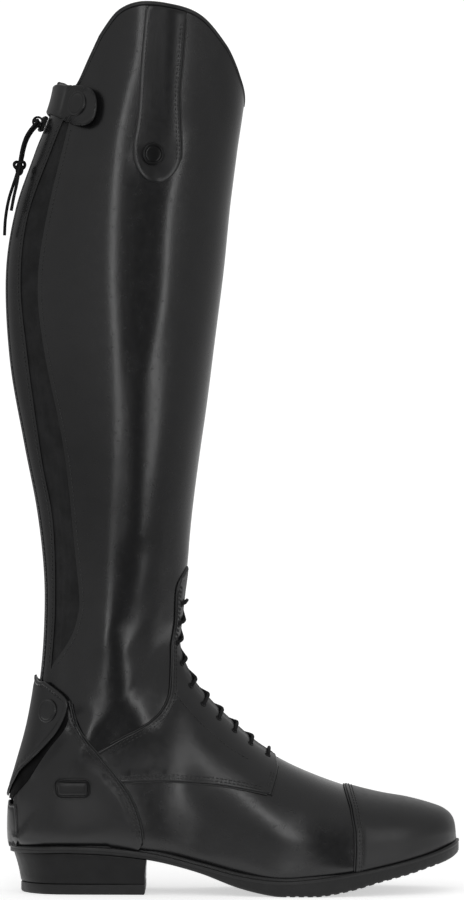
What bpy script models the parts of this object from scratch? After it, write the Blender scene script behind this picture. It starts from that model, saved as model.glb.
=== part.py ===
"""Right lace-up riding boot: a hollow leather upper on a welted sole, closed by a back zip.

The frame has +X to the toe, +Y to the inner side of the leg and +Z up. The origin lies on the
floor under the middle of the heel. Sizes and tables are in millimetres, meshes in metres.
"""

import math

import bmesh
import bpy
import numpy as np
from mathutils import Matrix, Vector

MM = 0.001
GAP = 0.3

# Leather and rubber thicknesses
WALL = 2.0
OVERLAY = 1.2
FLAP = 1.5
FLAP_RISE = 2.1
TAB_RISE = 1.3
SPUR_REST = 3.0
TONGUE = 1.6
ELASTIC = 0.7
ELASTIC_DEPTH = 1.1
INSOLE = 3.0
WELT = 2.2
LIFT = 6.7

# Openings
THROAT_HALF = 4.0
THROAT_FRONT = 121.5
THROAT_TOP = 196.0
ZIP_Y = -9.0
ZIP_HALF = 3.6
ZIP_LOW = 62.0
ZIP_TOP = 494.0

# Trim
BINDING = 1.3
LACE = 1.4
LACE_ROWS = (8.62, 9.28, 9.96, 10.66, 11.42, 12.24, 13.25, 14.24, 15.3, 16.46)
LACE_TURN_Y = 9.5
LACE_LIFT = 0.8
LACE_CROWN = 0.3
EYELET_Y = 14.6
EYELET = 2.3
EYELET_WIRE = 0.55
CORD = 1.0
CORD_STEP = 5.0
# Turned press-stud cap: share of its radius, and height
SNAP_PROFILE = [(0.0, 1.9), (0.45, 1.8), (0.72, 1.5), (0.80, 1.1), (0.90, 1.5), (1.0, 1.0), (1.0, 0.0),
                (0.0, 0.0)]

# Tread
TREAD_EDGE = 2.2
RIB_PITCH = 7.0
RIB_DEPTH = 1.2
RIB_FIRST = 149.0
RIB_LAST = 219.0
# One groove of the tread: shares of the pitch, and of its depth
RIB_PROFILE = [(0.0, 0.0), (0.12, 1.0), (0.38, 1.0), (0.5, 0.0)]
OUTSOLE_INSET = 0.8
SOLE_SPLIT = 118.0
TREAD_DRAW = 3.2

# The last, a row for each section from the toe tip over the heel to the top of the shaft.
# front: its point on the front line. end: its point on the feather line, or on the back line.
# outer, inner: half widths. shift: sideways place. open: half opening underneath on each side.
# widest: share of the way down at which it is widest. crown, tuck: powers of the two curves.
LAST_COLUMNS = ("front_x", "front_z", "end_x", "end_z", "outer", "inner", "shift",
                "open_outer", "open_inner", "widest", "crown", "tuck")
LAST = np.array([
    (231.0, 32.0, 231.0, 32.0, 0.0, 0.0, 9.0, 0.0, 0.0, 0.60, 2.0, 5.0),
    (229.4, 43.5, 229.4, 31.0, 11.0, 11.0, 8.6, 8.5, 8.5, 0.62, 2.0, 5.0),
    (224.5, 49.3, 224.5, 29.2, 21.0, 21.0, 8.0, 17.0, 17.0, 0.64, 2.1, 5.0),
    (215.5, 53.0, 215.5, 25.9, 29.0, 29.5, 6.6, 24.5, 25.0, 0.66, 2.2, 6.0),
    (201.0, 56.9, 201.0, 21.8, 36.2, 36.6, 4.4, 31.8, 32.0, 0.67, 2.2, 6.0),
    (184.0, 60.0, 184.5, 18.1, 41.2, 42.0, 2.5, 36.8, 37.5, 0.68, 2.2, 6.0),
    (165.0, 64.9, 165.5, 14.8, 44.8, 44.8, 1.0, 40.5, 40.3, 0.68, 2.15, 6.0),
    (145.0, 72.0, 145.0, 11.7, 46.2, 44.2, 0.2, 41.8, 39.3, 0.67, 2.1, 6.0),
    (126.0, 80.5, 122.0, 10.2, 45.2, 39.8, 0.0, 40.6, 35.0, 0.66, 2.0, 6.0),
    (108.8, 91.0, 98.0, 12.9, 41.0, 34.2, 0.0, 35.5, 28.5, 0.64, 2.0, 5.5),
    (94.2, 103.5, 72.5, 19.2, 36.4, 31.0, 0.0, 30.0, 23.8, 0.62, 2.0, 5.0),
    (81.6, 115.7, 46.0, 25.7, 33.8, 30.5, 0.0, 26.8, 22.8, 0.60, 2.0, 4.5),
    (71.8, 128.4, 19.0, 29.2, 33.0, 31.6, 0.0, 25.8, 24.6, 0.58, 2.0, 4.0),
    (65.8, 141.2, -7.0, 30.4, 33.2, 32.6, 0.0, 25.6, 25.6, 0.56, 2.0, 3.6),
    (62.4, 154.0, -27.5, 30.2, 34.0, 33.6, 0.0, 21.5, 21.5, 0.54, 2.0, 3.0),
    (61.6, 165.5, -38.8, 30.6, 35.0, 34.6, 0.0, 11.5, 11.5, 0.53, 2.0, 2.6),
    (62.3, 176.0, -43.0, 33.4, 35.6, 35.2, 0.0, 0.0, 0.0, 0.52, 2.0, 2.3),
    (63.4, 186.0, -42.8, 55.0, 36.0, 35.6, 0.0, 0.0, 0.0, 0.52, 2.0, 2.2),
    (64.8, 196.5, -37.6, 77.0, 36.3, 36.0, 0.0, 0.0, 0.0, 0.52, 2.0, 2.1),
    (65.9, 207.5, -31.0, 103.0, 36.8, 36.5, 0.0, 0.0, 0.0, 0.52, 2.0, 2.05),
    (66.9, 220.0, -26.2, 131.0, 37.8, 37.5, 0.0, 0.0, 0.0, 0.51, 2.0, 2.0),
    (68.4, 235.0, -23.6, 163.0, 39.6, 39.4, 0.0, 0.0, 0.0, 0.51, 2.0, 2.0),
    (70.6, 253.0, -23.6, 197.0, 42.6, 42.4, 0.0, 0.0, 0.0, 0.50, 2.0, 2.0),
    (73.6, 275.0, -27.9, 236.0, 46.4, 46.2, 0.0, 0.0, 0.0, 0.50, 2.0, 2.0),
    (77.5, 302.0, -36.0, 278.0, 50.0, 49.8, 0.0, 0.0, 0.0, 0.50, 2.0, 2.0),
    (82.3, 340.0, -44.8, 329.0, 53.0, 52.8, 0.0, 0.0, 0.0, 0.50, 2.0, 2.0),
    (88.0, 385.0, -47.2, 383.0, 54.0, 54.0, 0.0, 0.0, 0.0, 0.50, 2.0, 2.0),
    (92.0, 425.0, -40.6, 425.0, 53.4, 53.4, 0.0, 0.0, 0.0, 0.50, 2.0, 2.0),
    (96.5, 460.0, -28.4, 460.0, 52.4, 52.4, 0.0, 0.0, 0.0, 0.50, 2.0, 2.0),
    (101.0, 490.0, -17.0, 490.0, 51.2, 51.2, 0.0, 0.0, 0.0, 0.50, 2.0, 2.0),
    (103.0, 520.0, -13.0, 520.0, 50.0, 50.0, 0.0, 0.0, 0.0, 0.50, 2.0, 2.0),
    (104.0, 556.0, -11.0, 556.0, 48.5, 48.5, 0.0, 0.0, 0.0, 0.50, 2.0, 2.0),
])
COLUMN = {name: place for place, name in enumerate(LAST_COLUMNS)}
HEEL_ROW = 16
LEVEL_ROW = 27
COLLAR_STEPS = 4
# First and last rows under each group of panels
TOE_ROWS = (0, 7)
LACED_ROWS = (7, 20)
BACK_ROWS = (10, 24)
SHAFT_ROWS = (HEEL_ROW, LEVEL_ROW + 1)
COLLAR_ROWS = (26, LEVEL_ROW + 1)

# Height of the finished collar by the angle from the front, on the outer and the inner side
COLLAR_OUTER = np.array([
    (0, 488.0), (20, 503.5), (36, 521.5), (56, 539.5), (76, 546.0), (92, 547.0), (106, 542.0),
    (118, 528.5), (126, 513.5), (134, 499.0), (143, 496.5), (158, 499.5), (180, 501.5),
])
COLLAR_INNER = np.array([(0, 488.0), (60, 486.0), (120, 491.0), (180, 501.5)])

# Rows and turns of the mesh: a turn of -1 is the outer end, 0 the front line, 1 the inner end
MESH_ROWS = ([0, 0.4, 0.8, 1.3, 2, 3, 4, 5, 6, 7, 8, 9, 10, 11, 12, 13, 14, 14.7, 15.4]
             + list(range(HEEL_ROW, LEVEL_ROW + 1))
             + [LEVEL_ROW + step / COLLAR_STEPS for step in range(1, COLLAR_STEPS + 1)])
HALF_TURNS = 10
MESH_TURNS = [step / HALF_TURNS for step in range(-HALF_TURNS, HALF_TURNS + 1)]

# The sole, a row for each section: its two edges seen from above, welt top and tread
SOLE_COLUMNS = ("x", "outer", "inner", "feather", "tread")
SOLE = np.array([
    (234.2, -9.0, 9.0, 32.6, 25.5),
    (232.3, 4.0, 21.5, 31.4, 23.6),
    (226.8, 15.5, 32.5, 29.2, 20.6),
    (217.0, 25.0, 39.5, 25.9, 17.2),
    (201.5, 34.6, 44.2, 21.8, 12.6),
    (184.5, 41.6, 47.2, 18.1, 8.5),
    (165.5, 46.8, 48.6, 14.8, 3.4),
    (145.0, 49.0, 47.2, 11.7, 0.0),
    (122.0, 48.0, 42.5, 10.2, 0.0),
    (98.0, 43.2, 36.4, 12.9, 4.8),
    (72.5, 37.6, 31.2, 19.2, 14.0),
    (46.0, 34.0, 30.0, 25.7, 20.7),
    (19.0, 33.0, 31.6, 29.2, 24.2),
    (-7.0, 32.4, 32.4, 30.4, 25.4),
    (-24.8, 29.6, 29.6, 30.2, 25.2),
    (-35.2, 22.6, 22.6, 30.2, 25.2),
    (-42.2, 12.2, 12.2, 30.2, 25.2),
    (-44.8, 0.0, 0.0, 30.2, 25.2),
])

# Rows of the sole's sections, and rows of the last under the insole's
SOLE_STATIONS = ([0.1, 0.35, 0.7, 1.2] + list(range(2, 11))
                 + [row / 2 for row in range(22, 34)] + [16.8])
INSOLE_STATIONS = ([1.4, 1.7, 2, 2.5] + list(range(3, 14)) + [13.5, 14, 14.4, 14.7, 15])

# The heel: its breast, and how far its foot draws in at the back, the breast and the sides
HEEL_SECTIONS = 15
HEEL_BREAST = 40.5
HEEL_END = 0.6
HEEL_BACK_DRAW = 7.0
HEEL_TOP_DRAW = 2.4
HEEL_BREAST_DRAW = 1.0
HEEL_SIDE_DRAW = 2.2

# The insole draws in towards its middle, clear of the walls
INSOLE_MIDDLE = 95.0
INSOLE_DRAW = 0.015

# The spur rest: left, right, low and high edges in side view, and its corner radius
SPUR_EDGES = (-15.6, 6.4, 59.6, 72.2)
SPUR_CORNER = 2.6

# Side-view outlines of the panels as strokes: smooth through their points, sharp where they join
COUNTER_EDGE = [(-5.8, 120.0), (-2.7, 105.8), (4.0, 94.8), (10.1, 87.4), (24.9, 69.0),
                (32.2, 57.3), (37.1, 43.2), (38.6, 31.0)]
COUNTER_OUTLINE = [COUNTER_EDGE, [(38.6, 31.0), (0.0, 32.6), (-60.0, 32.6)],
                   [(-60.0, 32.6), (-60.0, 130.0)], [(-60.0, 130.0), (-5.8, 120.0)]]
SEAM_EDGE = [(11.2, 89.0), (25.5, 96.7), (39.0, 103.4), (49.4, 112.0), (55.0, 121.8),
             (56.8, 131.7), (57.7, 147.0), (58.0, 168.0), (58.6, 185.7), (61.7, 195.5),
             (68.0, 203.0)]
QUARTER_OUTLINE = [SEAM_EDGE, [(68.0, 203.0), (95.0, 203.0)], [(95.0, 203.0), (150.0, 110.0)],
                   [(150.0, 110.0), (121.5, 84.0), (120.7, 76.0), (116.9, 61.8)],
                   [(116.9, 61.8), (99.7, 65.4), (79.5, 68.5), (48.8, 70.3), (25.7, 69.4)],
                   [(25.7, 69.4), (11.2, 89.0)]]
TOE_CAP_OUTLINE = [[(161.5, 90.0), (162.2, 67.0), (166.0, 54.0), (168.5, 40.0), (168.6, 28.0),
                    (167.4, 16.6)],
                   [(167.4, 16.6), (185.0, 20.0), (201.0, 23.8), (216.0, 28.2), (230.0, 33.4),
                    (250.0, 36.0)],
                   [(250.0, 36.0), (250.0, 90.0)], [(250.0, 90.0), (161.5, 90.0)]]
STAY_OUTLINE = [[(-60.0, 57.0), (-38.5, 55.0)], [(-38.5, 55.0), (-37.4, 45.0), (-37.0, 32.0)],
                [(-37.0, 32.0), (-60.0, 32.0)], [(-60.0, 32.0), (-60.0, 57.0)]]
FLAP_OUTLINE = [[(-60.0, 136.0), (-27.5, 133.2), (-20.2, 130.7), (-8.5, 122.1), (-6.6, 115.0),
                 (-11.6, 101.2), (-23.9, 85.2), (-38.6, 70.5), (-46.0, 60.0), (-60.0, 55.0)],
                [(-60.0, 55.0), (-60.0, 136.0)]]
TAB_OUTLINE = [[(-60.0, 498.6), (-8.0, 497.6), (5.8, 495.0), (11.4, 491.2), (13.0, 483.6), (11.0, 474.5),
                (5.0, 470.4), (-3.0, 472.0), (-12.0, 477.0), (-22.0, 482.0), (-60.0, 482.0)],
               [(-60.0, 482.0), (-60.0, 498.6)]]
STRIP_OUTLINE = [[(40.5, 560.0), (37.5, 511.5), (35.6, 478.6), (32.4, 456.6), (34.2, 446.5),
                  (39.5, 439.2), (46.5, 436.6), (54.0, 439.2), (60.0, 446.5), (62.0, 456.5),
                  (61.3, 490.0), (63.1, 511.4), (66.1, 560.0)], [(66.1, 560.0), (40.5, 560.0)]]
ELASTIC_OUTLINE = [[(-14.0, 469.0), (-18.4, 458.0), (-33.2, 416.9), (-37.5, 376.2), (-33.2, 330.0),
                    (-24.6, 267.2), (-17.8, 228.5), (-16.6, 177.4), (-19.1, 138.0)],
                   [(-19.1, 138.0), (-5.8, 157.5), (-0.8, 172.8), (-0.2, 184.0), (-3.0, 213.3),
                    (-9.4, 273.4), (-21.7, 335.4), (-25.4, 375.8), (-19.9, 416.3), (-7.4, 469.0)],
                   [(-7.4, 469.0), (-14.0, 469.0)]]
TONGUE_OUTLINE = [[(136.0, 110.0), (136.0, 55.0)], [(136.0, 55.0), (45.0, 110.0)],
                  [(45.0, 110.0), (40.0, 203.0)], [(40.0, 203.0), (100.0, 203.0)],
                  [(100.0, 203.0), (136.0, 110.0)]]
THROAT_OUTLINE = [[(THROAT_FRONT, 110.0), (THROAT_FRONT, 62.0)], [(THROAT_FRONT, 62.0), (45.0, 110.0)],
                  [(45.0, 110.0), (45.0, THROAT_TOP)], [(45.0, THROAT_TOP), (100.0, THROAT_TOP)],
                  [(100.0, THROAT_TOP), (THROAT_FRONT, 110.0)]]
TONGUE_HALF = 17.0
STAY_HALF = 19.0
BEYOND = 90.0

# Press studs: place in side view, radius, and height of the seat over the last
SNAPS = {
    "snap_side": ((44.6, 454.0), 7.0, OVERLAY + 2 * GAP + 0.6),
    "snap_tab": ((1.2, 484.0), 8.0, TAB_RISE + FLAP + GAP + 1.1),
    "snap_flap": ((-17.4, 112.5), 7.4, FLAP_RISE + FLAP + GAP + 1.4),
}

# The zip slider: its height on the back, its size, and the bail that stands half sunk in it
SLIDER_Z = 474.0
SLIDER_SIZE = (3.0, 7.4, 10.0)
SLIDER_LIFT = 0.9
SLIDER_EDGE = 0.8
BAIL = 3.0
BAIL_WIRE = 0.7
BAIL_SINK = 1.0
BAIL_REST = 0.4

# Route of the pull cord below the slider, point by point down to the knot and the two tails
KNOT = (-38.2, -13.0, 448.2)
KNOT_RADII = (3.2, 3.4, 4.6)
LOOP_SPREAD = 1.3
LONG_TAIL = [(-40.2, -13.6, 442.6), (-42.2, -14.4, 436.4), (-44.4, -15.0, 429.4), (-46.0, -15.2, 421.8),
             (-47.0, -15.0, 414.0), (-47.4, -14.6, 405.8)]
SHORT_TAIL = [(-38.6, -17.2, 444.0), (-39.6, -19.4, 437.4), (-41.4, -20.4, 429.4), (-43.0, -20.8, 420.8)]

LEATHER = (0.020, 0.020, 0.021)
RUBBER = (0.014, 0.014, 0.015)
MATERIALS = {
    "leather": (LEATHER, 0.38, 0.0),
    "lining": ((0.060, 0.055, 0.050), 0.70, 0.0),
    "elastic": ((0.012, 0.012, 0.013), 0.75, 0.0),
    "rubber": (RUBBER, 0.55, 0.0),
    "lace": ((0.008, 0.008, 0.009), 0.70, 0.0),
    "zip": ((0.010, 0.010, 0.011), 0.50, 0.0),
    "metal": ((0.030, 0.030, 0.032), 0.25, 1.0),
}


def read_rows(table, at):
    """All columns of a table at a fractional row, on a smooth curve through its rows."""
    last = len(table) - 1
    low = min(max(int(math.floor(at)), 0), last - 1)
    part = at - low
    start, stop = table[low], table[low + 1]
    lead_in = table[low - 1] if low > 0 else 2 * start - stop
    lead_out = table[low + 2] if low + 2 <= last else 2 * stop - start
    slope_in = (stop - lead_in) / 2
    slope_out = (lead_out - start) / 2
    square, cube = part * part, part ** 3
    return ((2 * cube - 3 * square + 1) * start + (cube - 2 * square + part) * slope_in
            + (3 * square - 2 * cube) * stop + (cube - square) * slope_out)


def collar_height(turn):
    """Height of the finished collar at a turn."""
    table = COLLAR_OUTER if turn < 0 else COLLAR_INNER
    angle = min(abs(turn), 1.0) * 180
    row = float(np.interp(angle, table[:, 0], np.arange(len(table))))
    return float(read_rows(table, row)[1])


def form_point(at, turn):
    """Point of the last at a fractional row and a turn around it."""
    height = None
    if at > LEVEL_ROW:
        level = LAST[LEVEL_ROW][COLUMN["front_z"]]
        top = collar_height(turn) - 2 * BINDING
        height = level + (at - LEVEL_ROW) * (top - level)
        heights = LAST[LEVEL_ROW:, COLUMN["front_z"]]
        at = float(np.interp(height, heights, np.arange(LEVEL_ROW, len(LAST))))
    row = dict(zip(LAST_COLUMNS, read_rows(LAST, at)))
    side = "outer" if turn < 0 else "inner"
    angle = abs(turn) * math.pi
    reach = min(abs(math.cos(angle)), 1.0)
    if angle <= math.pi / 2:
        down = row["widest"] * (1 - reach)
        width = row[side] * (1 - reach ** row["crown"]) ** (1 / row["crown"])
    else:
        down = row["widest"] + (1 - row["widest"]) * reach
        opening = max(row["open_" + side], 0.0)
        bulge = (1 - reach ** row["tuck"]) ** (1 / row["tuck"])
        width = opening + (row[side] - opening) * bulge
    x = row["front_x"] + (row["end_x"] - row["front_x"]) * down
    z = row["front_z"] + (row["end_z"] - row["front_z"]) * down
    if height is not None:
        z = height
    return np.array((x, row["shift"] + math.copysign(width, turn), z))


def form_normal(at, turn):
    """Outward unit normal of the last."""
    if at < 0.01:
        return np.array((1.0, 0.0, 0.0))
    step = 0.004
    top = LEVEL_ROW + 1
    across = form_point(at, min(turn + step, 1.0)) - form_point(at, max(turn - step, -1.0))
    along = form_point(min(at + step, top), turn) - form_point(at - step, turn)
    normal = np.cross(across, along)
    if turn == 0.0 or (abs(turn) == 1.0 and at >= HEEL_ROW):
        normal[1] = 0.0
    return normal / np.linalg.norm(normal)


def form(at, turn, outset=0.0):
    """Point at a distance outside the last."""
    return form_point(at, turn) + form_normal(at, turn) * outset


def find(target, axes, turns):
    """Row and turn at which the last passes a place given in two axes."""
    rows = (1.0, LEVEL_ROW + 1.0)
    best = None
    for _ in range(7):
        grid = [(row, turn) for row in np.linspace(*rows, 25) for turn in np.linspace(*turns, 25)]
        misses = [np.linalg.norm(form_point(*place)[list(axes)] - target) for place in grid]
        best = grid[int(np.argmin(misses))]
        reach = ((rows[1] - rows[0]) / 8, (turns[1] - turns[0]) / 8)
        rows = (max(best[0] - reach[0], 0.5), min(best[0] + reach[0], LEVEL_ROW + 1.0))
        turns = (max(best[1] - reach[1], -1.0), min(best[1] + reach[1], 1.0))
    return best


def smooth_line(points, spacing):
    """Points at an even spacing on a smooth curve through the given ones."""
    table = np.array(points, dtype=float)
    if len(table) == 2:
        return [table[0], table[1]]
    line = []
    for low in range(len(table) - 1):
        pieces = max(1, round(np.linalg.norm(table[low + 1] - table[low]) / spacing))
        line += [read_rows(table, low + piece / pieces) for piece in range(pieces)]
    return line + [table[-1]]


def new_object(name, mesh, collection):
    """Adds a mesh to a collection as a named object."""
    piece = bpy.data.objects.new(name, mesh)
    collection.objects.link(piece)
    return piece


def as_mesh(name, points, faces):
    """Mesh of millimetre points and faces."""
    mesh = bpy.data.meshes.new(name)
    mesh.from_pydata([Vector(point) * MM for point in points], [], faces)
    mesh.update()
    return mesh


def form_sheet(name, outset, rows, turns):
    """Open sheet at a distance outside the last, closed into a ring where the turns meet."""
    points, places = [], {}
    for at in rows:
        for turn in turns:
            key = (at, 1.0 if turn == -1.0 and at >= HEEL_ROW else turn)
            key = (0, 0) if at == 0 else key
            if key not in places:
                places[key] = len(points)
                points.append(form(at, abs(turn) if key[1] == 1.0 else turn, outset))
            places[(at, turn)] = places[key]
    faces = []
    for low, high in zip(rows, rows[1:]):
        for left, right in zip(turns, turns[1:]):
            corners = [places[place] for place in ((low, left), (low, right), (high, right), (high, left))]
            for triangle in (corners[:3], [corners[0], corners[2], corners[3]]):
                if len(set(triangle)) == 3:
                    faces.append(triangle)
    return as_mesh(name, points, faces)


def thicken(piece, amount, outward):
    """Gives a sheet its thickness on its outer or its inner side."""
    solid = piece.modifiers.new("Thickness", "SOLIDIFY")
    solid.thickness = amount * MM
    solid.offset = 1.0 if outward else -1.0
    solid.use_even_offset = True


def cut(piece, cutter, operation):
    """Cuts a piece with another object."""
    boolean = piece.modifiers.new(cutter.name, "BOOLEAN")
    boolean.operation = operation
    boolean.object = cutter


def mesh_of(curve):
    """Welded mesh of a curve object, which is removed."""
    bpy.context.view_layer.update()
    seen = curve.evaluated_get(bpy.context.evaluated_depsgraph_get())
    mesh = bpy.data.meshes.new_from_object(seen)
    mesh.transform(curve.matrix_world)
    data = curve.data
    bpy.data.objects.remove(curve)
    bpy.data.curves.remove(data)
    work = bmesh.new()
    work.from_mesh(mesh)
    bmesh.ops.remove_doubles(work, verts=work.verts, dist=0.000001)
    bmesh.ops.recalc_face_normals(work, faces=work.faces)
    work.to_mesh(mesh)
    work.free()
    return mesh


def hidden(name, mesh):
    """Cutter object that is not part of the boot."""
    cutter = new_object(name, mesh, CUTTERS)
    cutter.hide_render = True
    cutter.display_type = "WIRE"
    return cutter


def prism(name, strokes, low, high, from_back=False, spacing=9.0):
    """Cutter with a side-view outline from one Y to another, or a back-view one along X."""
    outline = []
    for stroke in strokes:
        outline += smooth_line(stroke, spacing)[:-1]
    curve = bpy.data.curves.new(name, "CURVE")
    curve.dimensions = "2D"
    curve.fill_mode = "BOTH"
    curve.extrude = (high - low) / 2 * MM
    spline = curve.splines.new("POLY")
    spline.points.add(len(outline) - 1)
    for point, (across, up) in zip(spline.points, outline):
        point.co = (across * MM, up * MM, 0.0, 1.0)
    spline.use_cyclic_u = True
    piece = new_object(name, curve, CUTTERS)
    middle = (low + high) / 2 * MM
    piece.location = (middle, 0, 0) if from_back else (0, middle, 0)
    piece.rotation_euler = (math.pi / 2, 0, math.pi / 2 if from_back else 0)
    return hidden(name, mesh_of(piece))


def panel(name, strokes, near, far, low, high, rows=(0, LEVEL_ROW + 1), turns=(-1, 1)):
    """Overlay between two distances outside the last, inside a side-view outline."""
    part_rows = [at for at in MESH_ROWS if rows[0] <= at <= rows[1]]
    part_turns = [turn for turn in MESH_TURNS if turns[0] <= turn <= turns[1]]
    piece = new_object(name, form_sheet(name, near, part_rows, part_turns), BOOT)
    thicken(piece, far - near, outward=True)
    cut(piece, prism(name + "_outline", strokes, low, high), "INTERSECT")
    return piece


def box_outline(left, right, low, high):
    """Strokes of a rectangle."""
    corners = [(left, low), (right, low), (right, high), (left, high), (left, low)]
    return [[start, stop] for start, stop in zip(corners, corners[1:])]


def round_outline(left, right, low, high, radius):
    """One stroke round a rectangle with round corners."""
    stroke = []
    for turn, (x, z) in enumerate(((right, high), (left, high), (left, low), (right, low))):
        centre = (x - radius if x == right else x + radius, z - radius if z == high else z + radius)
        for step in range(3):
            angle = (turn + step / 2) * math.pi / 2
            stroke.append((centre[0] + radius * math.cos(angle), centre[1] + radius * math.sin(angle)))
    return [stroke + stroke[:1]]


def section_loft(name, sections):
    """Solid through rings of points, with a flat end at each side."""
    count = len(sections[0])
    points = [point for ring in sections for point in ring]
    faces = [list(range(count)), list(range(len(points) - 1, len(points) - 1 - count, -1))]
    for ring in range(len(sections) - 1):
        for place in range(count):
            following = (place + 1) % count
            here, there = ring * count, (ring + 1) * count
            faces.append([here + place, there + place, there + following, here + following])
    mesh = as_mesh(name, points, faces)
    work = bmesh.new()
    work.from_mesh(mesh)
    bmesh.ops.recalc_face_normals(work, faces=work.faces)
    work.to_mesh(mesh)
    work.free()
    return new_object(name, mesh, BOOT)


def sole_row(at):
    """Named columns of the sole at a fractional row, with no tread under the floor."""
    row = dict(zip(SOLE_COLUMNS, read_rows(SOLE, at)))
    row["tread"] = max(row["tread"], 0.0)
    return row


def sole_at(x):
    """Named columns of the sole at a distance along the foot."""
    rows = np.linspace(0, len(SOLE) - 1, 600)
    lengths = [read_rows(SOLE, row)[0] for row in rows]
    return sole_row(float(np.interp(-x, [-length for length in lengths], rows)))


def tube(name, points, radius, sides=2, collection=None):
    """Round cord along a line of millimetre points."""
    curve = bpy.data.curves.new(name, "CURVE")
    curve.dimensions = "3D"
    curve.bevel_depth = radius * MM
    curve.bevel_resolution = sides
    curve.use_fill_caps = True
    spline = curve.splines.new("POLY")
    spline.points.add(len(points) - 1)
    for point, place in zip(spline.points, points):
        point.co = (*(Vector(place) * MM), 1.0)
    return new_object(name, curve, collection or BOOT)


def on_form(at, turn, outset):
    """Place and turning of a small piece that stands on the last, its own +Z outward."""
    place = Matrix.Translation(Vector(form(at, turn, outset)) * MM)
    return place @ Vector(form_normal(at, turn)).to_track_quat("Z", "Y").to_matrix().to_4x4()


def make_upper():
    """Hollow wall with the throat, the zip slot and the recess of the elastic cut out."""
    upper = new_object("upper", form_sheet("upper", 0.0, MESH_ROWS, MESH_TURNS), BOOT)
    thicken(upper, WALL, outward=False)
    cut(upper, prism("throat_slot", THROAT_OUTLINE, -THROAT_HALF, THROAT_HALF), "DIFFERENCE")
    slot = box_outline(ZIP_Y - ZIP_HALF - GAP, ZIP_Y + ZIP_HALF + GAP, ZIP_LOW, 600.0)
    cut(upper, prism("zip_slot", slot, -BEYOND, 0.0, from_back=True), "DIFFERENCE")
    rows = [at for at in MESH_ROWS if at >= HEEL_ROW]
    turns = [turn for turn in MESH_TURNS if turn <= 0]
    recess = hidden("elastic_recess", form_sheet("elastic_recess", -ELASTIC_DEPTH, rows, turns))
    thicken(recess, 2 * ELASTIC_DEPTH, outward=True)
    wide = [[(x - GAP, z) for x, z in ELASTIC_OUTLINE[0]], [(x + GAP, z) for x, z in ELASTIC_OUTLINE[1]]]
    wide.insert(1, [wide[0][-1], wide[1][0]])
    wide.append([wide[2][-1], wide[0][0]])
    cut(recess, prism("elastic_recess_outline", wide, -BEYOND, 0.0), "INTERSECT")
    cut(upper, recess, "DIFFERENCE")
    return upper


def make_panels():
    """Leather overlays on the upper."""
    near, far = GAP, GAP + OVERLAY
    second = far + 2 * GAP
    zip_outer = ZIP_Y - ZIP_HALF - 2 * GAP
    zip_inner = ZIP_Y + ZIP_HALF + 2 * GAP
    panel("toe_cap", TOE_CAP_OUTLINE, near, far, -BEYOND, BEYOND, TOE_ROWS)
    panel("quarter_outer", QUARTER_OUTLINE, near, far, -BEYOND, -THROAT_HALF, LACED_ROWS, (-1, 0))
    panel("quarter_inner", QUARTER_OUTLINE, near, far, THROAT_HALF, BEYOND, LACED_ROWS, (0, 1))
    panel("counter_outer", COUNTER_OUTLINE, near, far, -BEYOND, zip_outer, BACK_ROWS)
    panel("counter_inner", COUNTER_OUTLINE, near, far, zip_inner, BEYOND, BACK_ROWS)
    panel("back_stay", STAY_OUTLINE, second + GAP, second + GAP + OVERLAY, -STAY_HALF, STAY_HALF, BACK_ROWS)
    panel("ankle_flap", FLAP_OUTLINE, FLAP_RISE, FLAP_RISE + FLAP, -BEYOND, BEYOND, BACK_ROWS)
    panel("side_strip", STRIP_OUTLINE, near, far, -BEYOND, 0.0, COLLAR_ROWS, (-1, 0))
    panel("collar_tab", TAB_OUTLINE, TAB_RISE, TAB_RISE + FLAP, -BEYOND, BEYOND, COLLAR_ROWS)
    spur = round_outline(*SPUR_EDGES, SPUR_CORNER)
    panel("spur_rest_outer", spur, second, second + SPUR_REST, -BEYOND, 0.0, BACK_ROWS)
    panel("spur_rest_inner", spur, second, second + SPUR_REST, 0.0, BEYOND, BACK_ROWS)
    panel("elastic_panel", ELASTIC_OUTLINE, GAP - ELASTIC_DEPTH, GAP + ELASTIC - ELASTIC_DEPTH,
          -BEYOND, 0.0, SHAFT_ROWS, (-1, 0))
    panel("tongue", TONGUE_OUTLINE, -WALL - GAP - TONGUE, -WALL - GAP, -TONGUE_HALF, TONGUE_HALF,
          LACED_ROWS, (-0.5, 0.5))


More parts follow.
